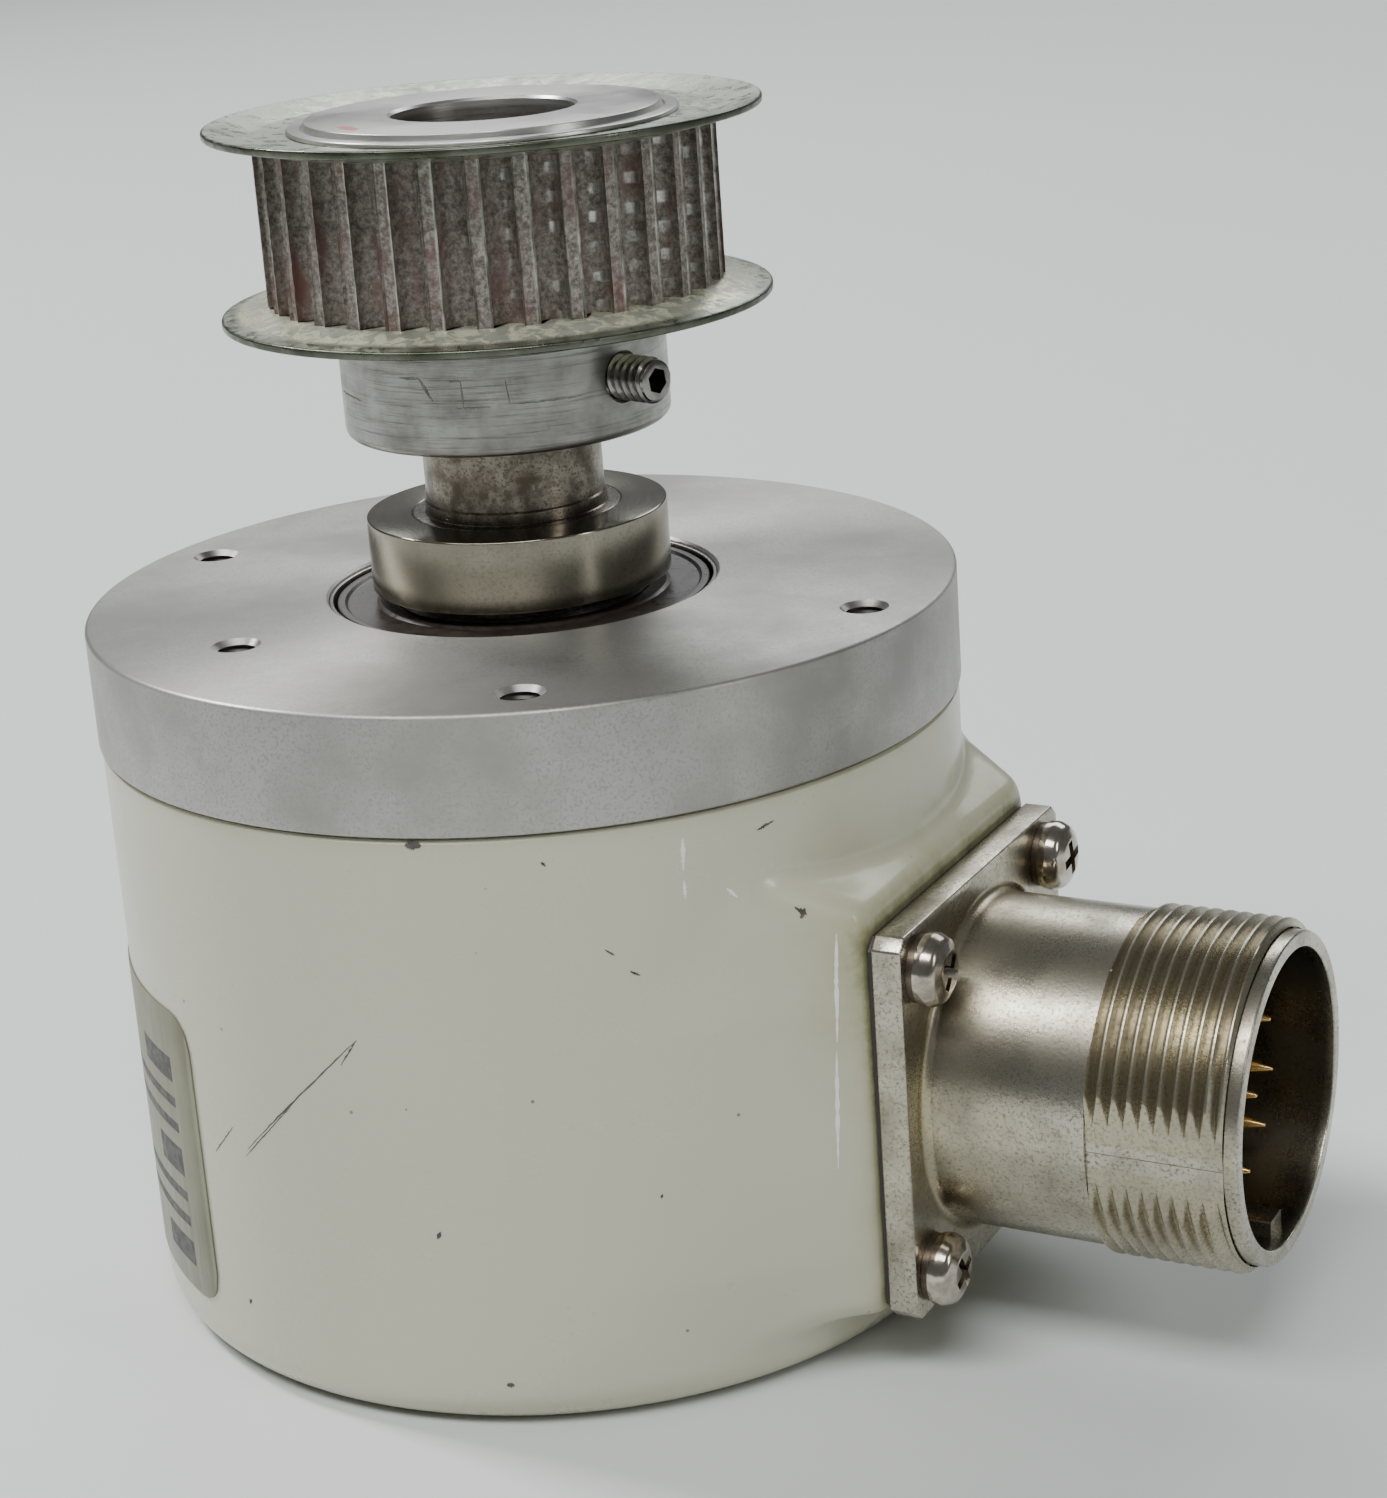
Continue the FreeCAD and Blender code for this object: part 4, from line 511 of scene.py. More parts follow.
MOULDINGS = {
    "black_rubber": ((0.030, 0.024, 0.020), (0.014, 0.011, 0.009), (0.35, 0.6), {}),
    "greasy_seal": ((0.034, 0.026, 0.021), (0.020, 0.015, 0.012), (0.26, 0.42), {}),
    "connector_plastic": ((0.050, 0.045, 0.032), (0.025, 0.022, 0.016), (0.35, 0.55), {}),
    "board_laminate": ((0.035, 0.17, 0.075), (0.02, 0.12, 0.05), (0.28, 0.42), {"scale": 300.0}),
    "chip_plastic": ((0.03, 0.03, 0.03), (0.018, 0.018, 0.018), (0.4, 0.6), {}),
    "capacitor_sleeve": ((0.03, 0.05, 0.12), (0.02, 0.035, 0.09), (0.25, 0.38), {}),
    "wire_insulation": ((0.35, 0.36, 0.38), (0.28, 0.29, 0.31), (0.35, 0.5), {}),
    "label_ink": ((0.035, 0.033, 0.03), (0.05, 0.048, 0.04), (0.4, 0.6), {}),
    "scuff": ((0.11, 0.10, 0.085), (0.05, 0.045, 0.04), (0.5, 0.8), {}),
    "pale_scuff": ((0.85, 0.85, 0.82), (0.75, 0.75, 0.7), (0.2, 0.3), {}),
    "dark_nick": ((0.24, 0.235, 0.21), (0.13, 0.125, 0.11), (0.4, 0.6), {"metallic": 0.6}),
    "red_marker": ((0.50, 0.17, 0.18), (0.36, 0.10, 0.11), (0.4, 0.6), {}),
}


def make_finishes():
    """Every material by the name of the record's slot it belongs to, and a few more."""
    made = {
        "hub_aluminium": scored_aluminium(),
        "cream_paint": cream_paint(),
        "label_foil": label_foil(),
        "nickel_plate": nickel_plate(),
        "zinc_plate": zinc_plate(),
        "tooth_metal": tooth_metal(),
        "optical_glass": clear_glass("optical_glass", (0.86, 0.91, 0.90)),
    }
    for kind, table in (
        (turned_metal, TURNED_METALS), (simple_metal, SIMPLE_METALS), (moulded, MOULDINGS),
    ):
        for name, (light, dark, rough, more) in table.items():
            made[name] = kind(name, light, dark, rough, **more)
    return {name: finish.material for name, finish in made.items()}


# --- Mesh helpers ------------------------------------------------------------------------


def piece(name, points, faces, material, slot, body="housing", stands_for=(), at=None, sharp=35):
    """A finished mesh object that rides on a body and takes the place of CAD nodes."""
    mesh = mesh_of(name, points, faces, material)
    return piece_from_mesh(name, mesh, body, stands_for, at, sharp)


def piece_from_mesh(name, mesh, body="housing", stands_for=(), at=None, sharp=35):
    shade(mesh, sharp)
    made = bpy.data.objects.new(name, mesh)
    bpy.context.scene.collection.objects.link(made)
    if at is not None:
        made.matrix_world = at
    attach(made, body)
    if stands_for:
        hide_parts(*stands_for)
    return made


def shade(mesh, sharp):
    """Clean normals outwards, smooth except across edges sharper than an angle."""
    work = bmesh.new()
    work.from_mesh(mesh)
    bmesh.ops.remove_doubles(work, verts=work.verts, dist=1e-7)
    bmesh.ops.dissolve_degenerate(work, edges=work.edges, dist=1e-7)
    bmesh.ops.recalc_face_normals(work, faces=work.faces)
    work.to_mesh(mesh)
    work.free()
    mesh.shade_smooth()
    mesh.set_sharp_from_angle(angle=math.radians(sharp))


def around(radius, angle, height):
    """The point at a radius, an angle and a height about Z."""
    return radius * math.cos(angle), radius * math.sin(angle), height


def turned(degrees):
    return Matrix.Rotation(math.radians(degrees), 4, "Z")


def rounded(corners, steps=5, closed=True):
    """An outline of (x, y) or (x, y, radius) corners, with an arc where there is a radius."""
    points = []
    count = len(corners)
    for i, corner in enumerate(corners):
        here = Vector(corner[:2])
        radius = corner[2] if len(corner) == 3 else 0.0
        if not radius or (not closed and i in (0, count - 1)):
            points.append(tuple(here))
            continue
        a = (Vector(corners[i - 1][:2]) - here).normalized()
        b = (Vector(corners[(i + 1) % count][:2]) - here).normalized()
        half = a.angle(b) / 2
        centre = here + (a + b).normalized() * radius / math.sin(half)
        start = here + a * radius / math.tan(half) - centre
        finish = here + b * radius / math.tan(half) - centre
        sweep = start.angle_signed(finish)
        for k in range(steps + 1):
            turn = -sweep * k / steps
            cosine, sine = math.cos(turn), math.sin(turn)
            points.append(
                (
                    centre.x + start.x * cosine - start.y * sine,
                    centre.y + start.x * sine + start.y * cosine,
                )
            )
    return points


def lathe(outline, columns=192, closed=True):
    """Points and faces of an outline of (radius, height) turned about Z."""
    points, faces, rings = [], [], []
    for radius, height in outline:
        if radius < 1e-9:
            rings.append([len(points)] * columns)
            points.append((0.0, 0.0, height))
            continue
        rings.append(list(range(len(points), len(points) + columns)))
        for j in range(columns):
            angle = 2 * math.pi * j / columns
            points.append(around(radius, angle, height))
    pairs = list(zip(rings, rings[1:]))
    if closed:
        pairs.append((rings[-1], rings[0]))
    for low, high in pairs:
        for j in range(columns):
            k = (j + 1) % columns
            corners = [low[j], low[k], high[k], high[j]]
            unique = list(dict.fromkeys(corners))
            if len(unique) > 2:
                faces.append(unique)
    return points, faces


def grid_faces(rows, columns):
    """Quads of a grid of points that closes on itself, row by row."""
    faces = []
    for i in range(rows - 1):
        for j in range(columns):
            k = (j + 1) % columns
            a, b = i * columns, (i + 1) * columns
            faces.append((a + j, a + k, b + k, b + j))
    return faces


def swept_faces(steps, sides):
    """Faces of a section with so many sides swept through so many steps, closed at its ends."""
    first, last = tuple(range(sides)), tuple(range(sides * (steps - 1), sides * steps))
    return [*grid_faces(steps, sides), first, last[::-1]]


def mesh_of(name, points, faces, material=None):
    mesh = bpy.data.meshes.new(name)
    mesh.from_pydata([tuple(p) for p in points], [], faces)
    if material:
        mesh.materials.append(FINISHES[material])
    return mesh


def points_of(mesh):
    """The x, y and z of a mesh's points, as three arrays."""
    place = np.empty(len(mesh.vertices) * 3)
    mesh.vertices.foreach_get("co", place)
    return place.reshape(-1, 3).T


def store_mask(mesh, name, values):
    """Keeps a number on each point for a material to use."""
    layer = mesh.attributes.new(name, "FLOAT", "POINT")
    layer.data.foreach_set("value", np.asarray(values, dtype=np.float32))


def carve(mesh, cutters):
    """The mesh with other closed meshes cut out of it."""
    work = bpy.data.objects.new("work", mesh)
    bpy.context.scene.collection.objects.link(work)
    helpers = []
    for cutter in cutters:
        clean(cutter)
        helper = bpy.data.objects.new("cutter", cutter)
        bpy.context.scene.collection.objects.link(helper)
        modifier = work.modifiers.new("cut", "BOOLEAN")
        modifier.operation = "DIFFERENCE"
        modifier.solver = "EXACT"
        modifier.object = helper
        helpers.append(helper)
    clean(mesh)
    bpy.context.view_layer.update()
    graph = bpy.context.evaluated_depsgraph_get()
    result = bpy.data.meshes.new_from_object(work.evaluated_get(graph))
    for thing in [work, *helpers]:
        bpy.data.objects.remove(thing)
    return result


def clean(mesh):
    """Merges doubled points and turns the faces outwards."""
    work = bmesh.new()
    work.from_mesh(mesh)
    bmesh.ops.remove_doubles(work, verts=work.verts, dist=1e-7)
    bmesh.ops.recalc_face_normals(work, faces=work.faces)
    work.to_mesh(mesh)
    work.free()


def moved(points, matrix):
    return [tuple(matrix @ Vector(p)) for p in points]


def gathered(parts):
    """Several (points, faces) as one."""
    points, faces = [], []
    for part_points, part_faces in parts:
        base = len(points)
        points += list(part_points)
        faces += [tuple(base + i for i in face) for face in part_faces]
    return points, faces


def prism(outline, low, high):
    """Points and faces of a flat outline extruded along Z."""
    count = len(outline)
    points = [(x, y, low) for x, y in outline] + [(x, y, high) for x, y in outline]
    faces = [tuple(range(count))[::-1], tuple(range(count, 2 * count))]
    for i in range(count):
        k = (i + 1) % count
        faces.append((i, k, count + k, count + i))
    return points, faces


def threaded(root, crest, pitch, low, high, columns=96, rows=10, flat=None, lead_in=0.0):
    """The outside wall of a screw thread about Z, its rows following the helix."""
    turns = (high - low) / pitch
    count = int(math.ceil((turns + 2) * rows)) + 1
    points = []
    for i in range(count):
        for j in range(columns):
            angle = 2 * math.pi * j / columns
            height = low + pitch * (i / rows - 1 + j / columns)
            place = min(max(height, low), high)
            phase = (i / rows) % 1.0
            rise = min(max((1 - abs(2 * phase - 1)) * 1.3 - 0.12, 0.0), 1.0)
            if lead_in:
                rise *= min(1.0, max(0.0, (high - place) / lead_in))
            radius = root + (crest - root) * rise
            if height < low or height > high:
                radius = root
            if flat is not None:
                radius = min(radius, flat(angle))
            points.append(around(radius, angle, place))
    faces = []
    for i in range(count - 1):
        for j in range(columns - 1):
            a = i * columns + j
            faces.append((a, a + 1, a + columns + 1, a + columns))
        if i + rows + 1 < count:
            a, b = i * columns + columns - 1, (i + rows) * columns
            faces.append((a, b, b + columns, a + columns))
    return points, faces


# --- Housing -----------------------------------------------------------------------------

TAP_ANGLES = (0.0, 180.0, -60.0)
TAP_CIRCLE = 42.5 * MM
SPARE_ANGLES = (-120.0, 120.0)
SPARE_CIRCLE = 35.5 * MM
TAP_RADIUS = 2.5 * MM
TAP_DEPTH = 10.0 * MM
TAP_PITCH = 0.8 * MM


def tap_cutter(radius, angle):
    """What a tapped hole takes away: a countersunk mouth and rings of thread."""
    mouth = TAP_RADIUS + 0.2 * MM
    outline = [(0.0, FLANGE_TOP + 1 * MM), (mouth, FLANGE_TOP + 1 * MM)]
    outline.append((mouth, FLANGE_TOP + 0.01 * MM))
    height = FLANGE_TOP - 0.2 * MM
    while height > FLANGE_TOP - TAP_DEPTH + TAP_PITCH:
        outline.append((TAP_RADIUS, height))
        outline.append((TAP_RADIUS - 0.42 * MM, height - TAP_PITCH / 2))
        height -= TAP_PITCH
    outline += [(TAP_RADIUS, height), (0.0, height - 1.2 * MM)]
    points, faces = lathe(outline, 40, closed=False)
    at = turned(angle) @ Matrix.Translation((radius, 0, 0))
    return mesh_of("tap", moved(points, at), faces)


def make_flange():
    """Machined flange with its bearing seat and five tapped holes."""
    bore = BEARING_RADIUS + 0.02 * MM
    low = COVER_TOP
    outline = rounded(
        [
            (bore, low - 6 * MM),
            (FLANGE_RADIUS - 3.2 * MM, low - 6 * MM),
            (FLANGE_RADIUS - 3.2 * MM, low - 0.05 * MM),
            (FLANGE_RADIUS - 1.0 * MM, low - 0.05 * MM, 0.05 * MM),
            (FLANGE_RADIUS - 1.0 * MM, low + 0.35 * MM),
            (FLANGE_RADIUS, low + 0.35 * MM, 0.3 * MM),
            (FLANGE_RADIUS, FLANGE_TOP, 0.45 * MM),
            (bore + 0.25 * MM, FLANGE_TOP),
            (bore, FLANGE_TOP - 0.25 * MM),
        ]
    )
    points, faces = lathe(outline, 360)
    body = mesh_of("front_flange", points, faces, "machined_aluminium")
    places = [(TAP_CIRCLE, angle) for angle in TAP_ANGLES]
    places += [(SPARE_CIRCLE, angle) for angle in SPARE_ANGLES]
    body = carve(body, [tap_cutter(*place) for place in places])
    plate = piece_from_mesh(
        "flange_plate", body, stands_for=["front_flange"], sharp=30
    )
    x, y, z = points_of(plate.data)
    # The inside mask is painted shade: it darkens the tapped holes' walls below their mouths
    inside = np.zeros(len(x))
    for radius, angle in places:
        turn = math.radians(angle)
        away = np.hypot(x - radius * math.cos(turn), y - radius * math.sin(turn))
        inside[(away < TAP_RADIUS + 0.05 * MM) & (z < FLANGE_TOP - 0.7 * MM)] = 0.8
    store_mask(plate.data, "inside", inside)


BOSS_HALF = 22.2 * MM
BOSS_TOP = 24.7 * MM
BOSS_DRAFT = 0.49
BOSS_TOP_SLOPE = 0.42
BOSS_FOOT_SLOPE = 0.1
COVER_ROUND = 4.5 * MM
COVER_WALL = 2.6 * MM
COVER_FLOOR = 3 * MM


def smooth_min(a, b, width):
    blend = np.clip(0.5 + 0.5 * (b - a) / width, 0, 1)
    return b * (1 - blend) + a * blend - width * blend * (1 - blend)


def smooth_max(a, b, width):
    return -smooth_min(-a, -b, width)


def cover_field(x, y, z):
    """Below zero inside the cover: a round-bottomed drum blended into a drafted boss."""
    r = np.hypot(x, y)
    dip = np.maximum(COVER_ROUND - z, 0)
    drum = np.where(
        z < COVER_ROUND,
        np.hypot(np.maximum(r - (COVER_RADIUS - COVER_ROUND), 0), dip) - COVER_ROUND,
        r - COVER_RADIUS,
    )
    back = COVER_FACE - x

    def side(distance, half, slope):
        return (distance - half - back * slope) / math.hypot(1, slope)

    level = z - SOCKET_HEIGHT
    top = side(level, BOSS_TOP, BOSS_TOP_SLOPE)
    boss = smooth_max(side(np.abs(y), BOSS_HALF, BOSS_DRAFT), top, 3.2 * MM)
    boss = smooth_max(boss, side(-level, BOSS_HALF, BOSS_FOOT_SLOPE), 3 * MM)
    boss = smooth_max(boss, 30 * MM - x, 1 * MM)
    # The root's fillet is wide at the sides and tight along the top and the foot
    fillet = np.interp(z, [0, 15 * MM, 44 * MM, 57 * MM], [1 * MM, 7 * MM, 7 * MM, 1.4 * MM])
    whole = smooth_min(drum, boss, fillet)
    return smooth_max(whole, x - COVER_FACE, 1.8 * MM)


def cover_radius(angles, heights):
    """How far the cover's skin is from the shaft's axis at each angle and height."""
    low = np.full(np.broadcast(angles, heights).shape, 25 * MM)
    high = np.full_like(low, 75 * MM)
    cosine, sine = np.cos(angles), np.sin(angles)
    for _ in range(34):
        middle = (low + high) / 2
        inside = cover_field(middle * cosine, middle * sine, heights + 0 * middle) < 0
        low, high = np.where(inside, middle, low), np.where(inside, high, middle)
    return (low + high) / 2


def make_cover():
    """Painted pot: outer skin, open rim, inner wall and floor."""
    near = np.radians(np.linspace(-50, 50, 300, endpoint=False))
    rest = np.radians(np.linspace(50, 310, 260, endpoint=False))
    angles = np.concatenate([near, rest])
    columns = len(angles)
    foot = COVER_ROUND * (1 - np.cos(np.radians(np.linspace(6, 90, 12))))
    wall = np.linspace(COVER_ROUND, COVER_TOP - 0.3 * MM, 110)[1:]
    heights = np.concatenate([foot, wall])
    grid_angle, grid_height = np.meshgrid(angles, heights)
    radius = cover_radius(grid_angle, grid_height)
    rows = [(radius[i], np.full(columns, h)) for i, h in enumerate(heights)]
    rim = radius[-1]
    inner = COVER_RADIUS - COVER_WALL
    rows.append((rim - 0.3 * MM, np.full(columns, COVER_TOP)))
    rows.append((np.full(columns, inner), np.full(columns, COVER_TOP)))
    rows.append((np.full(columns, inner), np.full(columns, 5 * MM)))
    rows.append((np.full(columns, inner - 2 * MM), np.full(columns, COVER_FLOOR)))
    flat = COVER_RADIUS - COVER_ROUND
    rows.insert(0, (np.full(columns, flat), np.zeros(columns)))
    points = []
    for ring, height in rows:
        points += list(zip(ring * np.cos(angles), ring * np.sin(angles), height))
    faces = grid_faces(len(rows), columns)
    faces.append(tuple(range(columns))[::-1])
    last = (len(rows) - 1) * columns
    faces.append(tuple(range(last, last + columns)))
    body = mesh_of("cover", points, faces, "cream_paint")
    body = carve(body, cover_cutters())
    cover = piece_from_mesh("cover", body, stands_for=["cover_shell"], sharp=40)
    paint_grime(cover.data)


PILLAR_CIRCLE = 38.0 * MM
PILLAR_ANGLES = (60.0, 180.0, 300.0)


def cover_cutters():
    """The countersinks for the screws in the underside."""
    cutters = []
    outline = [(0, -1 * MM), (4.25 * MM, -1 * MM), (4.25 * MM, 0.0), (2.1 * MM, 2.1 * MM)]
    outline += [(2.1 * MM, 3.5 * MM), (0, 3.5 * MM)]
    for angle in PILLAR_ANGLES:
        points, faces = lathe(outline, 32, closed=False)
        at = turned(angle)
        at = at @ Matrix.Translation((PILLAR_CIRCLE, 0, 0))
        cutters.append(mesh_of("sink", moved(points, at), faces))
    return cutters


def paint_grime(mesh):
    """Stores how grimy each point is: near the receptacle's plate, the seam and the foot."""
    x, y, z = points_of(mesh)
    level = z - SOCKET_HEIGHT
    across = np.maximum(np.maximum(np.abs(y), np.abs(level)) - PLATE_HALF, 0)
    away = np.hypot(across, np.maximum(COVER_FACE - x, 0))
    plate = np.exp(-away / (2.2 * MM)) * 0.8 + np.exp(-away / (0.35 * MM))
    above = np.exp(-away / (9 * MM)) * np.clip(level / (14 * MM), 0, 1) * 0.8
    seam = np.exp(-(COVER_TOP - z) / (0.8 * MM)) * 0.6
    foot = np.exp(-z / (2.5 * MM)) * 0.35
    boss = np.clip((x - 34 * MM) / (12 * MM), 0, 1)
    grime = np.clip((plate + above) * boss + seam + foot, 0, 2)
    store_mask(mesh, "grime", grime)


LABEL_MIDDLE = math.radians(-149.0)
LABEL_HALF_SWEEP = math.radians(35.0)
LABEL_THICKNESS = 0.2 * MM
LABEL_CORNER = 4.0 * MM


def make_label():
    """Rounded plate bonded round the cover, with printed bars in place of its words."""
    low, high = bottom("rating_label"), top("rating_label")
    inner = COVER_RADIUS + 0.02 * MM
    outer = COVER_RADIUS + LABEL_THICKNESS
    half_width = inner * LABEL_HALF_SWEEP
    steps = 120
    points = []
    columns = np.linspace(-half_width, half_width, steps)
    for s in columns:
        inset = max(0.0, abs(s) - (half_width - LABEL_CORNER))
        cut = LABEL_CORNER - math.sqrt(max(LABEL_CORNER**2 - inset**2, 0.0))
        angle = LABEL_MIDDLE + s / inner
        for radius, height in (
            (inner, low + cut),
            (outer - 0.06 * MM, low + cut),
            (outer, low + cut + 0.12 * MM),
            (outer, high - cut - 0.12 * MM),
            (outer - 0.06 * MM, high - cut),
            (inner, high - cut),
        ):
            points.append(around(radius, angle, height))
    faces = swept_faces(steps, 6)
    piece("label_plate", points, faces, "label_foil", "label_foil", stands_for=["rating_label"])
    make_label_print(half_width, low, high, outer)


def make_label_print(half_width, low, high, radius):
    """Plain bars and one plain block, no lettering."""
    strips = []
    right = half_width - 5 * MM
    level = high - 6.0 * MM
    for length, depth in ((9, 3.0), (30, 1.2), (22, 1.2), (7, 3.4), (26, 1.2), (16, 1.2), (8, 3.0)):
        strips.append((right - length * MM, right, level - depth * MM, level))
        level -= (depth + 1.9) * MM
    strips.append((-right, -right + 18 * MM, low + 6 * MM, low + 16 * MM))
    parts = []
    for start, stop, floor, ceiling in strips:
        steps = max(4, int((stop - start) / (1 * MM)))
        points = []
        for s in np.linspace(start, stop, steps):
            angle = LABEL_MIDDLE + s / radius
            for rise, height in ((0.0, floor), (0.015, floor), (0.015, ceiling), (0.0, ceiling)):
                r = radius + (rise - 0.003) * MM
                points.append(around(r, angle, height))
        parts.append((points, swept_faces(steps, 4)))
    piece("label_print", *gathered(parts), "label_ink", "label_foil")


# Marks on the cover: angle from the receptacle in degrees and height in mm, for both ends,
# and the widest part in mm
DARK_SCUFFS = (
    (-103.5, 29.5, -84.0, 45.0, 0.17),
    (-104.0, 28.5, -95.0, 36.0, 0.12),
    (-110.5, 27.5, -106.0, 31.5, 0.12),
    (-86.5, 42.0, -84.0, 45.0, 0.14),
    (-75.0, 66.8, -73.0, 66.8, 0.8),
    (-76.0, 23.3, -75.5, 23.1, 0.7),
    (-48.0, 26.1, -47.7, 26.0, 0.4),
    (-32.0, 64.0, -29.5, 64.5, 0.25),
    (-29.2, 55.6, -28.2, 54.8, 0.4),
    (-28.9, 54.4, -28.2, 55.4, 0.3),
    (-52.3, 54.3, -51.2, 53.6, 0.18),
    (-49.5, 51.6, -48.3, 51.0, 0.2),
    (-59.0, 64.5, -58.5, 64.0, 0.2),
    (-69.0, 5.7, -68.0, 5.6, 0.45),
    (-107.0, 10.4, -106.6, 10.2, 0.5),
)
PALE_SCUFFS = (
    (-41.8, 65.0, -42.0, 61.5, 0.4),
    (-42.0, 60.4, -42.0, 58.4, 0.3),
    (-36.6, 58.6, -35.4, 57.4, 0.35),
    (-25.8, 52.5, -26.4, 40.5, 0.3),
    (-26.5, 39.5, -27.0, 26.0, 0.3),
)


def scuff_strip(start_angle, start_height, end_angle, end_height, width, skin=cover_radius):
    """A ragged sliver that follows a skin between two points."""
    steps = 26
    girth = float(skin(np.array([math.radians(start_angle)]), np.array([start_height * MM]))[0])
    points = []
    for i in range(steps):
        t = i / (steps - 1)
        swell = math.sin(math.pi * min(max(t, 0.02), 0.98)) ** 0.6
        half = width * MM * 0.75 * swell * random.uniform(0.45, 1.0)
        wander = random.uniform(-0.06, 0.06) * MM
        angle = math.radians(start_angle + (end_angle - start_angle) * t)
        height = (start_height + (end_height - start_height) * t) * MM + wander
        along = Vector(
            (math.radians(end_angle - start_angle) * girth, (end_height - start_height) * MM)
        ).normalized()
        for side, rise in ((-1, -0.05), (-1, 0.035), (1, 0.035), (1, -0.05)):
            a = angle - side * half * along.y / girth
            z = height + side * half * along.x
            r = float(skin(np.array([a]), np.array([z]))[0]) + rise * MM
            points.append(around(r, a, z))
    return points, swept_faces(steps, 4)


def make_scuffs():
    for name, material, scuffs in (
        ("cover_scuffs", "scuff", DARK_SCUFFS),
        ("cover_chips", "pale_scuff", PALE_SCUFFS),
    ):
        points, faces = gathered([scuff_strip(*scuff) for scuff in scuffs])
        piece(name, points, faces, material, "cream_paint")


# --- Receptacle --------------------------------------------------------------------------

BARREL_RADIUS = 18.36 * MM
MOUTH_RADIUS = 16.14 * MM
THREAD = {"root": 18.1 * MM, "crest": 19.05 * MM, "pitch": 1.65 * MM}
THREAD_LOW = 73.0 * MM
THREAD_HIGH = 87.85 * MM
LIP_RADIUS = 17.9 * MM
LAND_DEPTH = 17.85 * MM
LAND_ANGLES = (183.0, 3.0)


def land(angle):
    """Two flats milled along the thread, one on each side."""
    reaches = []
    for centre in LAND_ANGLES:
        cosine = math.cos(angle - math.radians(centre))
        if cosine > 0.5:
            reaches.append(LAND_DEPTH / cosine)
    return min(reaches, default=1.0)


def make_receptacle_barrel():
    """Barrel, thread, lip, mouth and back spigot, in the receptacle's axes."""
    thread = threaded(
        low=THREAD_LOW, high=THREAD_HIGH, columns=360, rows=12, flat=land, lead_in=0.6 * MM,
        **THREAD,
    )
    fillet = 1.1 * MM
    outline = rounded(
        [
            (MOUTH_RADIUS, SHELL_END - 1.2 * MM, 0.2 * MM),
            (MOUTH_RADIUS + 0.01 * MM, INSULATOR_FACE - 6 * MM),
            (13.6 * MM, INSULATOR_FACE - 12 * MM),
            (13.6 * MM, PLATE_BACK - 8 * MM),
            (14.95 * MM, PLATE_BACK - 8 * MM),
            (14.95 * MM, PLATE_BACK + 1 * MM),
            (BARREL_RADIUS + 2.4 * MM, PLATE_BACK + 1 * MM),
            (BARREL_RADIUS + 2.4 * MM, PLATE_FRONT - 0.02 * MM),
            (BARREL_RADIUS, PLATE_FRONT - 0.02 * MM, fillet),
            (BARREL_RADIUS, THREAD_LOW - 0.02 * MM, 0.12 * MM),
            (THREAD["root"] - 0.3 * MM, THREAD_LOW - 0.02 * MM),
            (THREAD["root"] - 0.3 * MM, THREAD_HIGH + 0.02 * MM),
            (LIP_RADIUS, THREAD_HIGH + 0.02 * MM, 0.1 * MM),
            (LIP_RADIUS, SHELL_END, 0.35 * MM),
            (MOUTH_RADIUS, SHELL_END, 0.2 * MM),
        ]
    )
    wall = lathe(outline, 256)
    points, faces = gathered([wall, thread])
    # The thread is an open sleeve round the barrel's neck
    barrel = piece(
        "receptacle_barrel", points, faces, "nickel_plate", "nickel_plate",
        stands_for=["connector_shell"], at=SOCKET, sharp=32,
    )
    mask_wear(barrel.data)
    seam = [(LAND_DEPTH + rise * MM, side * 0.035 * MM) for rise, side in
            ((-0.1, -1), (0.012, -1), (0.012, 1), (-0.1, 1))]
    parts = []
    for centre in LAND_ANGLES:
        points, faces = prism(seam, THREAD_LOW, THREAD_HIGH + 0.3 * MM)
        parts.append((moved(points, turned(centre - 1)), faces))
    piece("mould_seams", *gathered(parts), "dark_steel", "nickel_plate", at=SOCKET)


def mask_wear(mesh):
    """Stores where the plating has thinned, at the barrel's root and on its crests, and where shade is
    painted inside the mouth.
    """
    x, y, z = points_of(mesh)
    r = np.hypot(x, y)
    root = np.exp(-np.abs(z - PLATE_FRONT) / (2.2 * MM)) * 0.9
    valleys = ((z > THREAD_LOW) & (r > LIP_RADIUS)) * 0.45
    worn = np.clip(root + valleys, 0, 1)
    # Painted shade: the inside mask darkens the mouth's wall, more the deeper it goes
    inside = (r < MOUTH_RADIUS + 0.05 * MM) * np.clip((SHELL_END - 0.1 * MM - z) / MM, 0, 0.72)
    store_mask(mesh, "worn", worn)
    store_mask(mesh, "inside", inside)


def make_receptacle_plate():
    """Square mounting plate with cut corners and softened edges."""
    cut = PLATE_HALF - 1.3 * MM
    ring = [(cut, -PLATE_HALF), (PLATE_HALF, -cut), (PLATE_HALF, cut), (cut, PLATE_HALF)]
    ring += [(-x, -y) for x, y in ring]
    points, faces = prism(ring, PLATE_BACK, PLATE_FRONT)
    mesh = mesh_of("receptacle_plate", points, faces, "nickel_plate")
    work = bmesh.new()
    work.from_mesh(mesh)
    bmesh.ops.bevel(
        work, geom=list(work.edges), offset=0.22 * MM, segments=3, profile=0.5, affect="EDGES"
    )
    bmesh.ops.triangulate(work, faces=[f for f in work.faces if len(f.verts) > 4])
    bmesh.ops.subdivide_edges(
        work, edges=[e for e in work.edges if e.calc_length() > 6 * MM], cuts=7, use_grid_fill=True
    )
    work.to_mesh(mesh)
    work.free()
    plate = piece_from_mesh("receptacle_plate", mesh, at=SOCKET, sharp=30)
    x, y, z = points_of(mesh)
    worn = np.clip(np.exp(-np.abs(np.hypot(x, y) - BARREL_RADIUS) / (2.5 * MM)) * 0.9, 0, 1)
    store_mask(plate.data, "worn", worn)


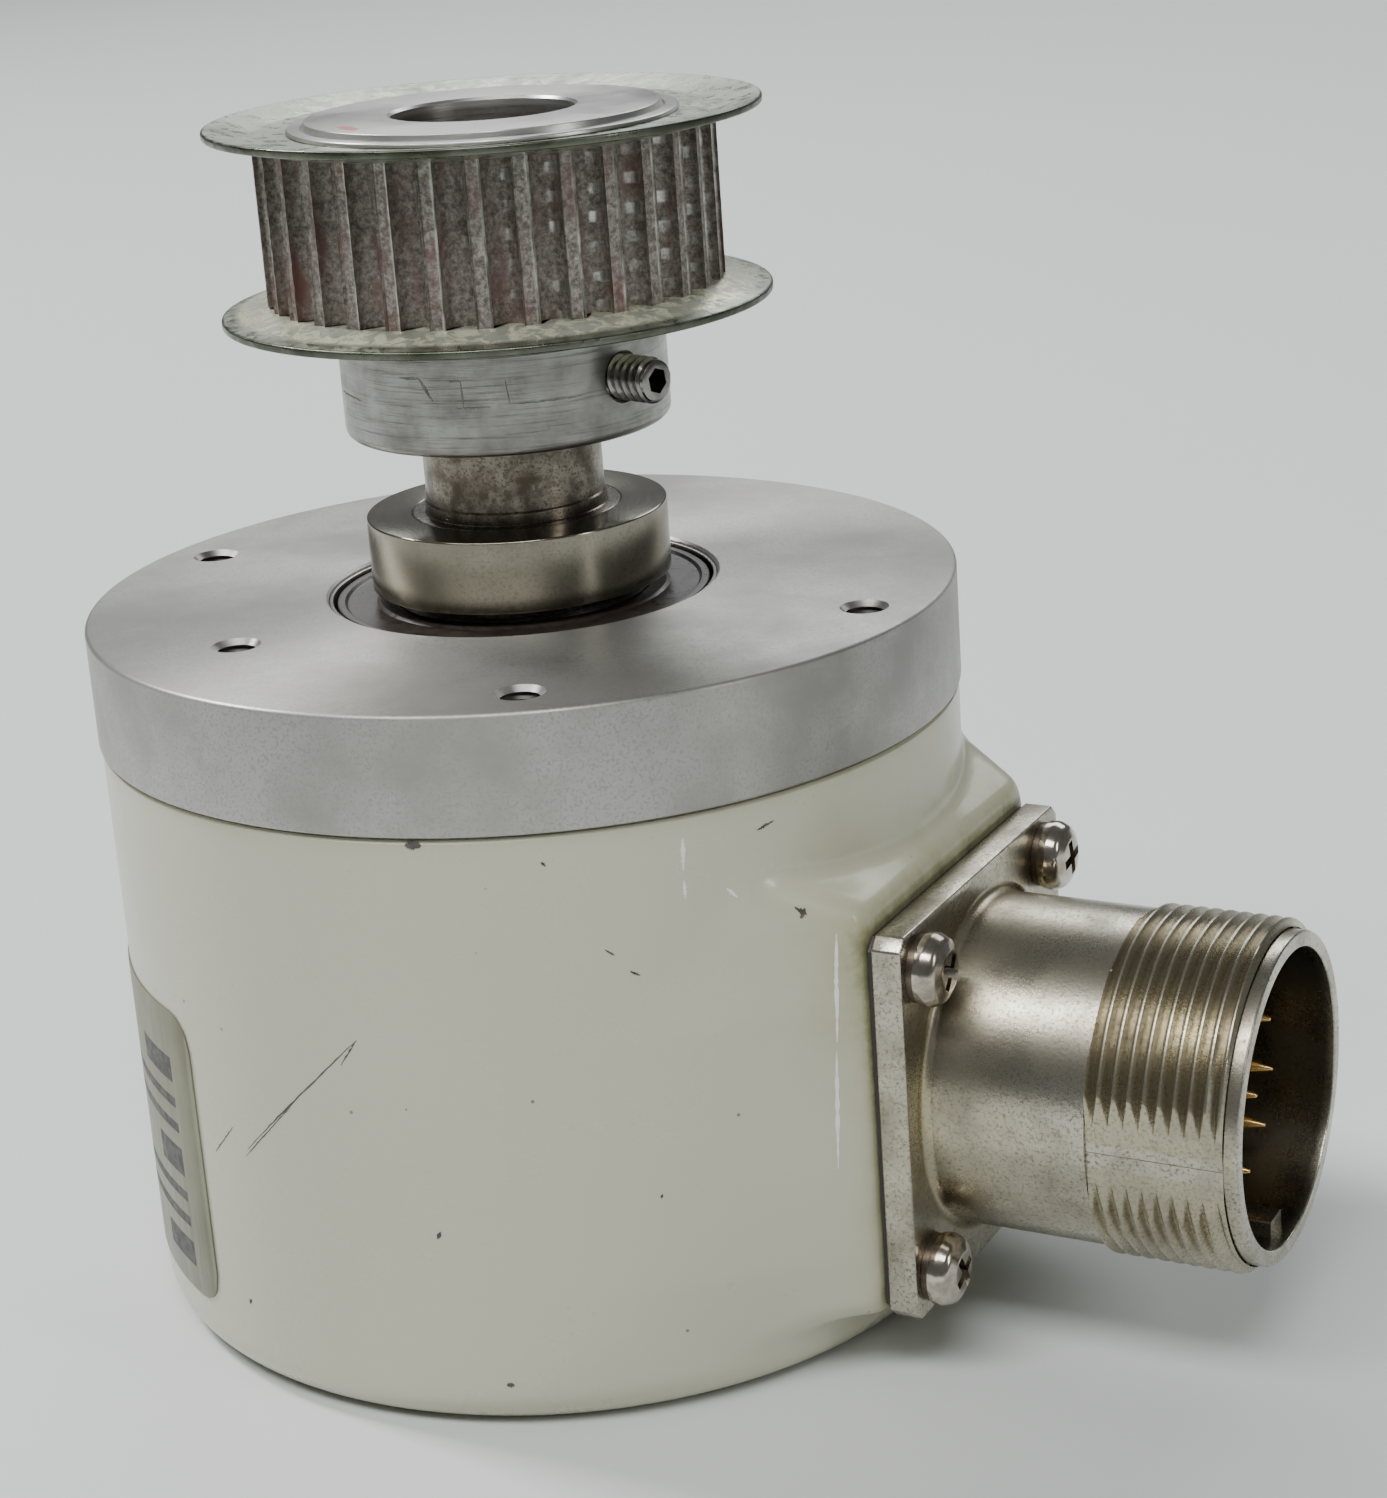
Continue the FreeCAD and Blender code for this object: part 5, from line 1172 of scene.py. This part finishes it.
HEAD_RADIUS = 4.0 * MM
HEAD_HEIGHT = 2.9 * MM


def cross_cutter(width, length, depth):
    """A tapered cross, point downwards from height zero."""
    parts = []
    for turn in (0, 90):
        half, wide = length / 2, width / 2
        upper = [(-half, -wide), (half, -wide), (half, wide), (-half, wide)]
        lower = [(x * 0.42, y * 0.75) for x, y in upper]
        points = [(x, y, -depth) for x, y in lower] + [(x, y, 1 * MM) for x, y in upper]
        faces = [(3, 2, 1, 0), (4, 5, 6, 7)]
        faces += [(i, (i + 1) % 4, 4 + (i + 1) % 4, 4 + i) for i in range(4)]
        parts.append((moved(points, turned(turn)), faces))
    return [mesh_of("cross", *part) for part in parts]


def screw_head():
    """A domed head with a cross recess, standing on height zero."""
    outline = rounded(
        [
            (0, 0), (HEAD_RADIUS - 0.1 * MM, 0, 0.1 * MM), (HEAD_RADIUS, 1.0 * MM, 1.2 * MM),
            (HEAD_RADIUS - 0.5 * MM, HEAD_HEIGHT - 0.75 * MM, 1.3 * MM),
            (HEAD_RADIUS - 1.9 * MM, HEAD_HEIGHT - 0.08 * MM, 1.4 * MM), (0, HEAD_HEIGHT),
        ],
        steps=10, closed=False,
    )
    mesh = mesh_of("head", *lathe(outline, 96, closed=False))
    cutters = cross_cutter(1.15 * MM, 5.0 * MM, 2.2 * MM)
    for cutter in cutters:
        cutter.transform(Matrix.Translation((0, 0, HEAD_HEIGHT)))
    return carve(mesh, cutters)


SCREW_PLACES = ((1, 1, 12), (-1, 1, 55), (-1, -1, 30), (1, -1, 80))


def make_plate_screws():
    """Four cross-headed screws and the split washers under them."""
    head = screw_head()
    reach_out = SCREW_REACH - HEAD_RADIUS
    heads, washers = bmesh.new(), []
    for x, y, turn in SCREW_PLACES:
        at = Matrix.Translation((x * reach_out, y * reach_out, WASHER_TOP))
        at = at @ turned(turn)
        copy = head.copy()
        copy.transform(at)
        heads.from_mesh(copy)
        seat = Matrix.Translation((x * reach_out, y * reach_out, PLATE_FRONT))
        points, faces = split_washer()
        washers.append((moved(points, seat @ turned(turn)), faces))
    mesh = bpy.data.meshes.new("plate_screws")
    heads.to_mesh(mesh)
    heads.free()
    mesh.materials.clear()
    mesh.materials.append(FINISHES["screw_nickel"])
    piece_from_mesh(
        "plate_screws", mesh, stands_for=["connector_screws"], at=SOCKET, sharp=38
    )
    piece(
        "plate_washers", *gathered(washers), "dark_steel", "dark_steel",
        stands_for=["connector_lock_washers"], at=SOCKET,
    )


def split_washer():
    """A square-section ring cut through, its ends a little apart."""
    steps = 60
    points = []
    for i in range(steps):
        angle = math.radians(6 + 348 * i / (steps - 1))
        lift = (i / (steps - 1)) * 0.10 * MM
        for radius, height in ((2.0, 0.0), (3.65, 0.0), (3.65, 0.7), (2.0, 0.7)):
            r = radius * MM
            points.append(around(r, angle, height * MM + lift))
    return points, swept_faces(steps, 4)


def make_contacts():
    """Gold pins with rounded points, each in a raised ring of the insulator."""
    places = [(0.0, 0.0)]
    for radius, first, count in ((6.0 * MM, -29.0, 5), (11.0 * MM, 21.5, 11)):
        for i in range(count):
            angle = math.radians(first + 360 / count * i)
            places.append((radius * math.cos(angle), radius * math.sin(angle)))
    pin = rounded(
        [
            (0, INSULATOR_FACE - 3 * MM), (0.8 * MM, INSULATOR_FACE - 3 * MM),
            (0.8 * MM, PIN_TIP - 2.4 * MM, 1.5 * MM), (0.22 * MM, PIN_TIP - 0.1 * MM, 0.12 * MM),
            (0, PIN_TIP),
        ],
        closed=False,
    )
    ring = rounded(
        [
            (0.85 * MM, INSULATOR_FACE - 1 * MM), (1.55 * MM, INSULATOR_FACE - 1 * MM),
            (1.55 * MM, INSULATOR_FACE + 0.5 * MM, 0.15 * MM),
            (0.85 * MM, INSULATOR_FACE + 0.5 * MM, 0.15 * MM),
        ]
    )
    pins, rings = [], []
    for x, y in places:
        at = Matrix.Translation((x, y, 0))
        points, faces = lathe(pin, 28, closed=False)
        pins.append((moved(points, at), faces))
        points, faces = lathe(ring, 28)
        rings.append((moved(points, at), faces))
    piece(
        "contact_pins", *gathered(pins), "gold_contacts", "gold_contacts",
        stands_for=["connector_pins"], at=SOCKET,
    )
    piece("contact_rings", *gathered(rings), "connector_plastic", "connector_plastic", at=SOCKET)


def make_key():
    """The polarising ridge along the bottom of the mouth."""
    half, height = 1.8 * MM, 2.0 * MM
    low = -MOUTH_RADIUS - 0.3 * MM
    outline = rounded(
        [
            (-half, low), (half, low), (half, -MOUTH_RADIUS + height, 0.35 * MM),
            (-half, -MOUTH_RADIUS + height, 0.35 * MM),
        ]
    )
    points, faces = prism(outline, INSULATOR_FACE + 0.1 * MM, SHELL_END - 1.8 * MM)
    piece("receptacle_key", points, faces, "nickel_plate", "nickel_plate", at=SOCKET)


# --- Bearing and shaft -------------------------------------------------------------------


def make_front_bearing():
    """The visible outer ring and the seal, dished and lipped."""
    inner = SHIELD_RADIUS + 0.44 * MM
    ring = rounded(
        [
            (inner, BEARING_TOP - 4 * MM), (BEARING_RADIUS, BEARING_TOP - 4 * MM),
            (BEARING_RADIUS, BEARING_TOP, 0.22 * MM), (inner, BEARING_TOP, 0.08 * MM),
        ]
    )
    piece(
        "bearing_ring", *lathe(ring, 256), "bearing_steel", "bearing_steel",
        stands_for=["front_bearing_outer_ring"],
    )
    level = BEARING_TOP - 0.25 * MM
    seal = rounded(
        [
            (14.55 * MM, level - 0.9 * MM), (SHIELD_RADIUS, level - 0.9 * MM),
            (SHIELD_RADIUS, level, 0.15 * MM), (20.2 * MM, level, 0.1 * MM),
            (19.9 * MM, level - 0.35 * MM, 0.1 * MM), (16.6 * MM, level - 0.3 * MM, 0.1 * MM),
            (16.2 * MM, level - 0.05 * MM, 0.1 * MM), (14.55 * MM, level - 0.1 * MM, 0.1 * MM),
        ]
    )
    piece(
        "bearing_seal", *lathe(seal, 256), "greasy_seal", "black_rubber",
        stands_for=["front_bearing_shields"],
    )


def make_collar():
    """Turned ring pressed on the shaft's shoulder."""
    bore = 11.72 * MM
    outline = rounded(
        [
            (bore, COLLAR_BOTTOM), (COLLAR_RADIUS, COLLAR_BOTTOM, 0.2 * MM),
            (COLLAR_RADIUS, COLLAR_TOP, 0.22 * MM), (bore + 0.12 * MM, COLLAR_TOP, 0.05 * MM),
            (bore, COLLAR_TOP - 0.15 * MM),
        ]
    )
    piece(
        "flinger_collar", *lathe(outline, 256), "polished_steel", "polished_steel",
        body="rotor", stands_for=["shaft_collar"],
    )


def make_shaft():
    """The shaft above the front bearing, stepped at the collar and chamfered at its end."""
    radius, neck = 10.0 * MM, 10.2 * MM
    shoulder, seat = 11.7 * MM, 11.0 * MM
    outline = rounded(
        [
            (0, bottom("shaft")), (5.6 * MM, bottom("shaft")), (6.0 * MM, bottom("shaft") + 0.4 * MM),
            (6.0 * MM, 33.2 * MM), (seat, 33.2 * MM), (seat, BEARING_TOP), (shoulder, BEARING_TOP),
            (shoulder, COLLAR_TOP, 0.14 * MM), (neck + 0.12 * MM, COLLAR_TOP, 0.1 * MM),
            (neck, COLLAR_TOP + 0.12 * MM), (neck, COLLAR_TOP + 1.3 * MM, 0.1 * MM),
            (radius, COLLAR_TOP + 1.5 * MM), (radius, SHAFT_TOP, 0.8 * MM), (0, SHAFT_TOP),
        ],
        closed=False,
    )
    piece(
        "spindle", *lathe(outline, 192, closed=False), "stained_steel", "stained_steel",
        body="rotor", stands_for=["shaft"],
    )


# --- Pulley ------------------------------------------------------------------------------

TOOTH_COUNT = 32
GROOVE_CENTRE = 24.55 * MM
GROOVE_RADIUS = 1.68 * MM
HUB_RADIUS = 18.1 * MM
PULLEY_BORE = 10.02 * MM
SCREW_ANGLES = (-14.2, 75.8)
SCREW_HEIGHT = 105.6 * MM
SCREW_TIP = 23.0 * MM


def tooth_outline():
    """One pitch of the rim as (radius, angle, brightness): land, round groove, land.

    Brightness says how free of dust each point is, and also holds painted highlight. The lips of the
    groove are worn to bright metal, and the lip on one side is painted brighter as a highlight.
    """
    squares = PULLEY_RADIUS**2 + GROOVE_CENTRE**2 - GROOVE_RADIUS**2
    edge = math.acos(squares / (2 * PULLEY_RADIUS * GROOVE_CENTRE))
    pitch = 2 * math.pi / TOOTH_COUNT
    worn, lip = 0.10 * MM / PULLEY_RADIUS, 0.14 * MM / PULLEY_RADIUS
    outline = [(PULLEY_RADIUS, a, 0.16) for a in np.linspace(-pitch / 2, -edge - 3 * lip, 4)]
    outline.append((PULLEY_RADIUS, -edge - 1.6 * lip, 0.4))
    outline.append((PULLEY_RADIUS - 0.02 * MM, -edge - lip, 1.0))
    outline.append((PULLEY_RADIUS - 0.10 * MM, -edge - lip + worn, 1.0))
    rise = PULLEY_RADIUS * math.cos(edge) - GROOVE_CENTRE
    start = math.atan2(PULLEY_RADIUS * math.sin(edge), rise)
    turns = np.linspace(-start + 0.16, start - 2 * math.pi - 0.16, 19)
    for t in turns:
        x = GROOVE_CENTRE + GROOVE_RADIUS * math.cos(t)
        y = GROOVE_RADIUS * math.sin(t)
        outline.append((math.hypot(x, y), math.atan2(y, x), 0.0))
    outline.append((PULLEY_RADIUS - 0.10 * MM, edge + lip - worn, 0.5))
    outline.append((PULLEY_RADIUS - 0.02 * MM, edge + lip, 0.4))
    outline.append((PULLEY_RADIUS, edge + 1.6 * lip, 0.2))
    outline += [(PULLEY_RADIUS, a, 0.16) for a in np.linspace(edge + 3 * lip, pitch / 2, 4)[:-1]]
    return outline


HOB_PITCH = 3.05 * MM
HOB_DEPTH = 0.05 * MM
HOB_DRIFT = -0.12
FLANK = (18, 23)
LAND_POINTS = 7
TOOTH_ROWS = 72
TEETH_BORE = 21.5 * MM
GLINT_STEPS = 16
GLINT_SHARE = 0.38


def make_teeth():
    """The toothed rim, its flanks waved by the cutter's feed."""
    low, high = LOWER_FLANGE[1], UPPER_FLANGE[0]
    outline = tooth_outline()
    shine = [[random.uniform(0.2, 0.8) for _ in range(GLINT_STEPS)] for _ in range(TOOTH_COUNT)]
    points, bare_and_glint = [], []
    for i in range(TOOTH_ROWS):
        height = low + (high - low) * i / (TOOTH_ROWS - 1)
        for tooth in range(TOOTH_COUNT):
            base = 2 * math.pi * tooth / TOOTH_COUNT
            phase = height / HOB_PITCH + tooth * HOB_DRIFT
            wave = abs(math.sin(math.pi * phase))
            for k, (radius, angle, bright) in enumerate(outline):
                groove = LAND_POINTS <= k < len(outline) - LAND_POINTS
                r = radius - HOB_DEPTH * (1 - wave) * (1.0 if groove else 0.25)
                points.append(around(r, base + angle, height))
                # Painted highlight: bright patches on one flank of each groove, stepped with the
                # cutter's feed
                if FLANK[0] <= k <= FLANK[1] and (phase % 1.0) < GLINT_SHARE:
                    bright = shine[tooth][int(phase) % GLINT_STEPS]
                bare_and_glint.append(bright * (0.72 + 0.28 * wave))
    columns = TOOTH_COUNT * len(outline)
    faces = grid_faces(TOOTH_ROWS, columns)
    for height in (high, low):
        points += [around(TEETH_BORE, 2 * math.pi * j / columns, height) for j in range(columns)]
    bare_and_glint += [0.0] * (2 * columns)
    first_in = TOOTH_ROWS * columns
    last = (TOOTH_ROWS - 1) * columns
    for j in range(columns):
        k = (j + 1) % columns
        faces.append((last + j, last + k, first_in + k, first_in + j))
        faces.append((first_in + j, first_in + k, first_in + columns + k, first_in + columns + j))
        faces.append((first_in + columns + j, first_in + columns + k, k, j))
    mesh = mesh_of("pulley_teeth", points, faces, "tooth_metal")
    store_mask(mesh, "bare_and_glint", bare_and_glint)
    piece_from_mesh(
        "pulley_teeth", mesh, body="rotor", stands_for=["pulley_body"], sharp=28
    )


def set_screw_cutter(angle):
    """A set screw's hole, widening where it breaks out of the hub."""
    hole, mouth, far = 2.55 * MM, 3.1 * MM, HUB_RADIUS + 4 * MM
    outline = [(0, 0), (hole, 0), (hole, HUB_RADIUS - 0.4 * MM), (mouth, HUB_RADIUS + 0.3 * MM)]
    outline += [(mouth, far), (0, far)]
    points, faces = lathe(outline, 40, closed=False)
    return mesh_of("hole", moved(points, radial(angle)), faces)


def radial(angle):
    """Turns a piece's Z axis to point outwards from the shaft at the set screws' height."""
    turn = turned(angle) @ Matrix.Rotation(math.pi / 2, 4, "Y")
    return Matrix.Translation((0, 0, SCREW_HEIGHT)) @ turn


def make_hub():
    """Hub, core and the rolled collar that holds the upper side flange."""
    step = LOWER_FLANGE[1] - RIM_THICKNESS - 0.4 * MM
    seat = UPPER_FLANGE[0] + RIM_THICKNESS
    crimp = seat + 0.5 * MM
    outline = rounded(
        [
            (PULLEY_BORE, HUB_BOTTOM + 0.3 * MM), (PULLEY_BORE + 0.3 * MM, HUB_BOTTOM),
            (HUB_RADIUS, HUB_BOTTOM, 1.1 * MM), (HUB_RADIUS, step - 3.2 * MM),
            (HUB_RADIUS - 0.05 * MM, step - 3.15 * MM), (HUB_RADIUS - 0.05 * MM, step - 3.05 * MM),
            (HUB_RADIUS, step - 3.0 * MM), (HUB_RADIUS, step, 0.15 * MM),
            (21.0 * MM, step, 0.1 * MM), (21.0 * MM, LOWER_FLANGE[1] + 0.4 * MM),
            (22.0 * MM, LOWER_FLANGE[1] + 0.4 * MM), (22.0 * MM, UPPER_FLANGE[0] - 0.4 * MM),
            (20.2 * MM, UPPER_FLANGE[0] - 0.4 * MM), (20.2 * MM, seat),
            (21.3 * MM, seat + 0.02 * MM, 0.1 * MM), (21.2 * MM, crimp, 0.2 * MM),
            (19.75 * MM, crimp, 0.08 * MM), (19.6 * MM, crimp - 0.2 * MM, 0.05 * MM),
            (19.45 * MM, crimp - 0.2 * MM, 0.05 * MM), (19.35 * MM, PULLEY_TOP, 0.15 * MM),
            (PULLEY_BORE + 0.3 * MM, PULLEY_TOP, 0.06 * MM), (PULLEY_BORE, PULLEY_TOP - 0.3 * MM),
        ]
    )
    mesh = mesh_of("pulley_hub", *lathe(outline, 256), "hub_aluminium")
    mesh = carve(mesh, [set_screw_cutter(angle) for angle in SCREW_ANGLES])
    piece_from_mesh(
        "pulley_hub", mesh, body="rotor", stands_for=["pulley_body"], sharp=30
    )


def make_set_screws():
    """Threaded screws with a hexagonal socket."""
    length = 12.0 * MM
    start = SCREW_TIP - length
    thread = threaded(
        root=1.86 * MM, crest=2.5 * MM, pitch=1.05 * MM, low=start + 0.4 * MM,
        high=SCREW_TIP - 0.35 * MM, columns=72, rows=14,
    )
    core = rounded(
        [
            (0, start), (1.8 * MM, start), (1.84 * MM, start + 0.4 * MM),
            (1.84 * MM, SCREW_TIP - 0.7 * MM), (2.25 * MM, SCREW_TIP - 0.45 * MM),
            (2.2 * MM, SCREW_TIP - 0.12 * MM), (1.9 * MM, SCREW_TIP), (0, SCREW_TIP),
        ],
        closed=False,
    )
    mesh = mesh_of("core", *lathe(core, 64, closed=False))
    corners = [math.radians(60 * i + 10) for i in range(6)]
    hexagon = [(1.45 * MM * math.cos(a), 1.45 * MM * math.sin(a)) for a in corners]
    socket = mesh_of("socket", *prism(hexagon, SCREW_TIP - 2.8 * MM, SCREW_TIP + 1 * MM))
    mesh = carve(mesh, [socket])
    whole = bmesh.new()
    for angle in SCREW_ANGLES:
        for part in (mesh, mesh_of("thread", *thread)):
            copy = part.copy()
            copy.transform(radial(angle))
            whole.from_mesh(copy)
    result = bpy.data.meshes.new("set_screws")
    whole.to_mesh(result)
    whole.free()
    result.materials.clear()
    result.materials.append(FINISHES["black_oxide"])
    piece_from_mesh(
        "set_screws", result, body="rotor", stands_for=["pulley_set_screws"], sharp=32
    )


# Marks on the hub: angle from the receptacle in degrees and height in mm, for both ends,
# and the widest part in mm
HUB_MARKS = (
    (-137.0, 104.5, -118.0, 104.4, 0.16),
    (-76.0, 104.5, -64.0, 104.5, 0.12),
    (-56.0, 104.6, -31.0, 104.6, 0.14),
    (-96.5, 107.6, -88.5, 107.6, 0.24),
    (-88.5, 107.6, -84.0, 105.2, 0.30),
    (-77.5, 107.4, -73.5, 107.4, 0.20),
    (-73.5, 107.4, -73.2, 104.6, 0.18),
    (-58.5, 107.3, -57.5, 104.6, 0.16),
)


def make_hub_marks():
    """A broken scribed line and nicks on the hub, and a dab of marker on the pulley's face."""
    points, faces = gathered([scuff_strip(*mark, hub_radius) for mark in HUB_MARKS])
    piece("hub_marks", points, faces, "dark_nick", "machined_aluminium", body="rotor")
    outline, count = [], 40
    for i in range(count):
        turn = 2 * math.pi * i / count
        ragged = random.uniform(0.72, 1.1)
        outline.append((2.6 * MM * ragged * math.cos(turn), 0.8 * MM * ragged * math.sin(turn)))
    points, faces = prism(outline, PULLEY_TOP - 0.01 * MM, PULLEY_TOP + 0.003 * MM)
    at = turned(-116) @ Matrix.Translation((16.8 * MM, 0, 0))
    at = at @ turned(78)
    piece("marker_dab", moved(points, at), faces, "red_marker", "machined_aluminium", body="rotor")


def hub_radius(angles, heights):
    return np.full(np.broadcast(angles, heights).shape, HUB_RADIUS)


def make_side_flanges():
    """Pressed steel rings beside the teeth, dished away from them, their rims softened."""
    bend = PULLEY_RADIUS + 0.3 * MM
    for name, node, root, rim, seat in (
        (
            "lower_side_flange", "pulley_lower_flange",
            LOWER_FLANGE[1] - RIM_THICKNESS, LOWER_FLANGE[0], 21.03 * MM,
        ),
        (
            "upper_side_flange", "pulley_upper_flange",
            UPPER_FLANGE[0], UPPER_FLANGE[1] - RIM_THICKNESS, 20.23 * MM,
        ),
    ):
        outline = rounded(
            [
                (seat, root), (bend, root, 1.5 * MM), (RIM_RADIUS, rim, 0.25 * MM),
                (RIM_RADIUS, rim + RIM_THICKNESS, 0.25 * MM), (bend, root + RIM_THICKNESS, 1.5 * MM),
                (seat, root + RIM_THICKNESS),
            ]
        )
        points, faces = lathe(outline, 256)
        piece(
            name, points, faces, "zinc_plate", "zinc_plate", body="rotor", stands_for=[node], sharp=40
        )


# --- Finish ------------------------------------------------------------------------------


def dress_cad_nodes():
    """Gives every node that still shows the material of its slot."""
    slots = {row["node"]: row["material_slot"] for row in frame["record"]["subparts"]}
    for name, node in frame["nodes"].items():
        material = FINISHES[slots[name]]
        if not node.material_slots:
            node.data.materials.append(material)
        for index in range(len(node.material_slots)):
            node.material_slots[index].material = material


make_camera()
FINISHES = make_finishes()
make_floor()
make_lights()
make_flange()
make_cover()
make_label()
make_scuffs()
make_receptacle_plate()
make_receptacle_barrel()
make_key()
make_plate_screws()
make_contacts()
make_front_bearing()
make_collar()
make_shaft()
make_hub()
make_teeth()
make_side_flanges()
make_set_screws()
make_hub_marks()
dress_cad_nodes()
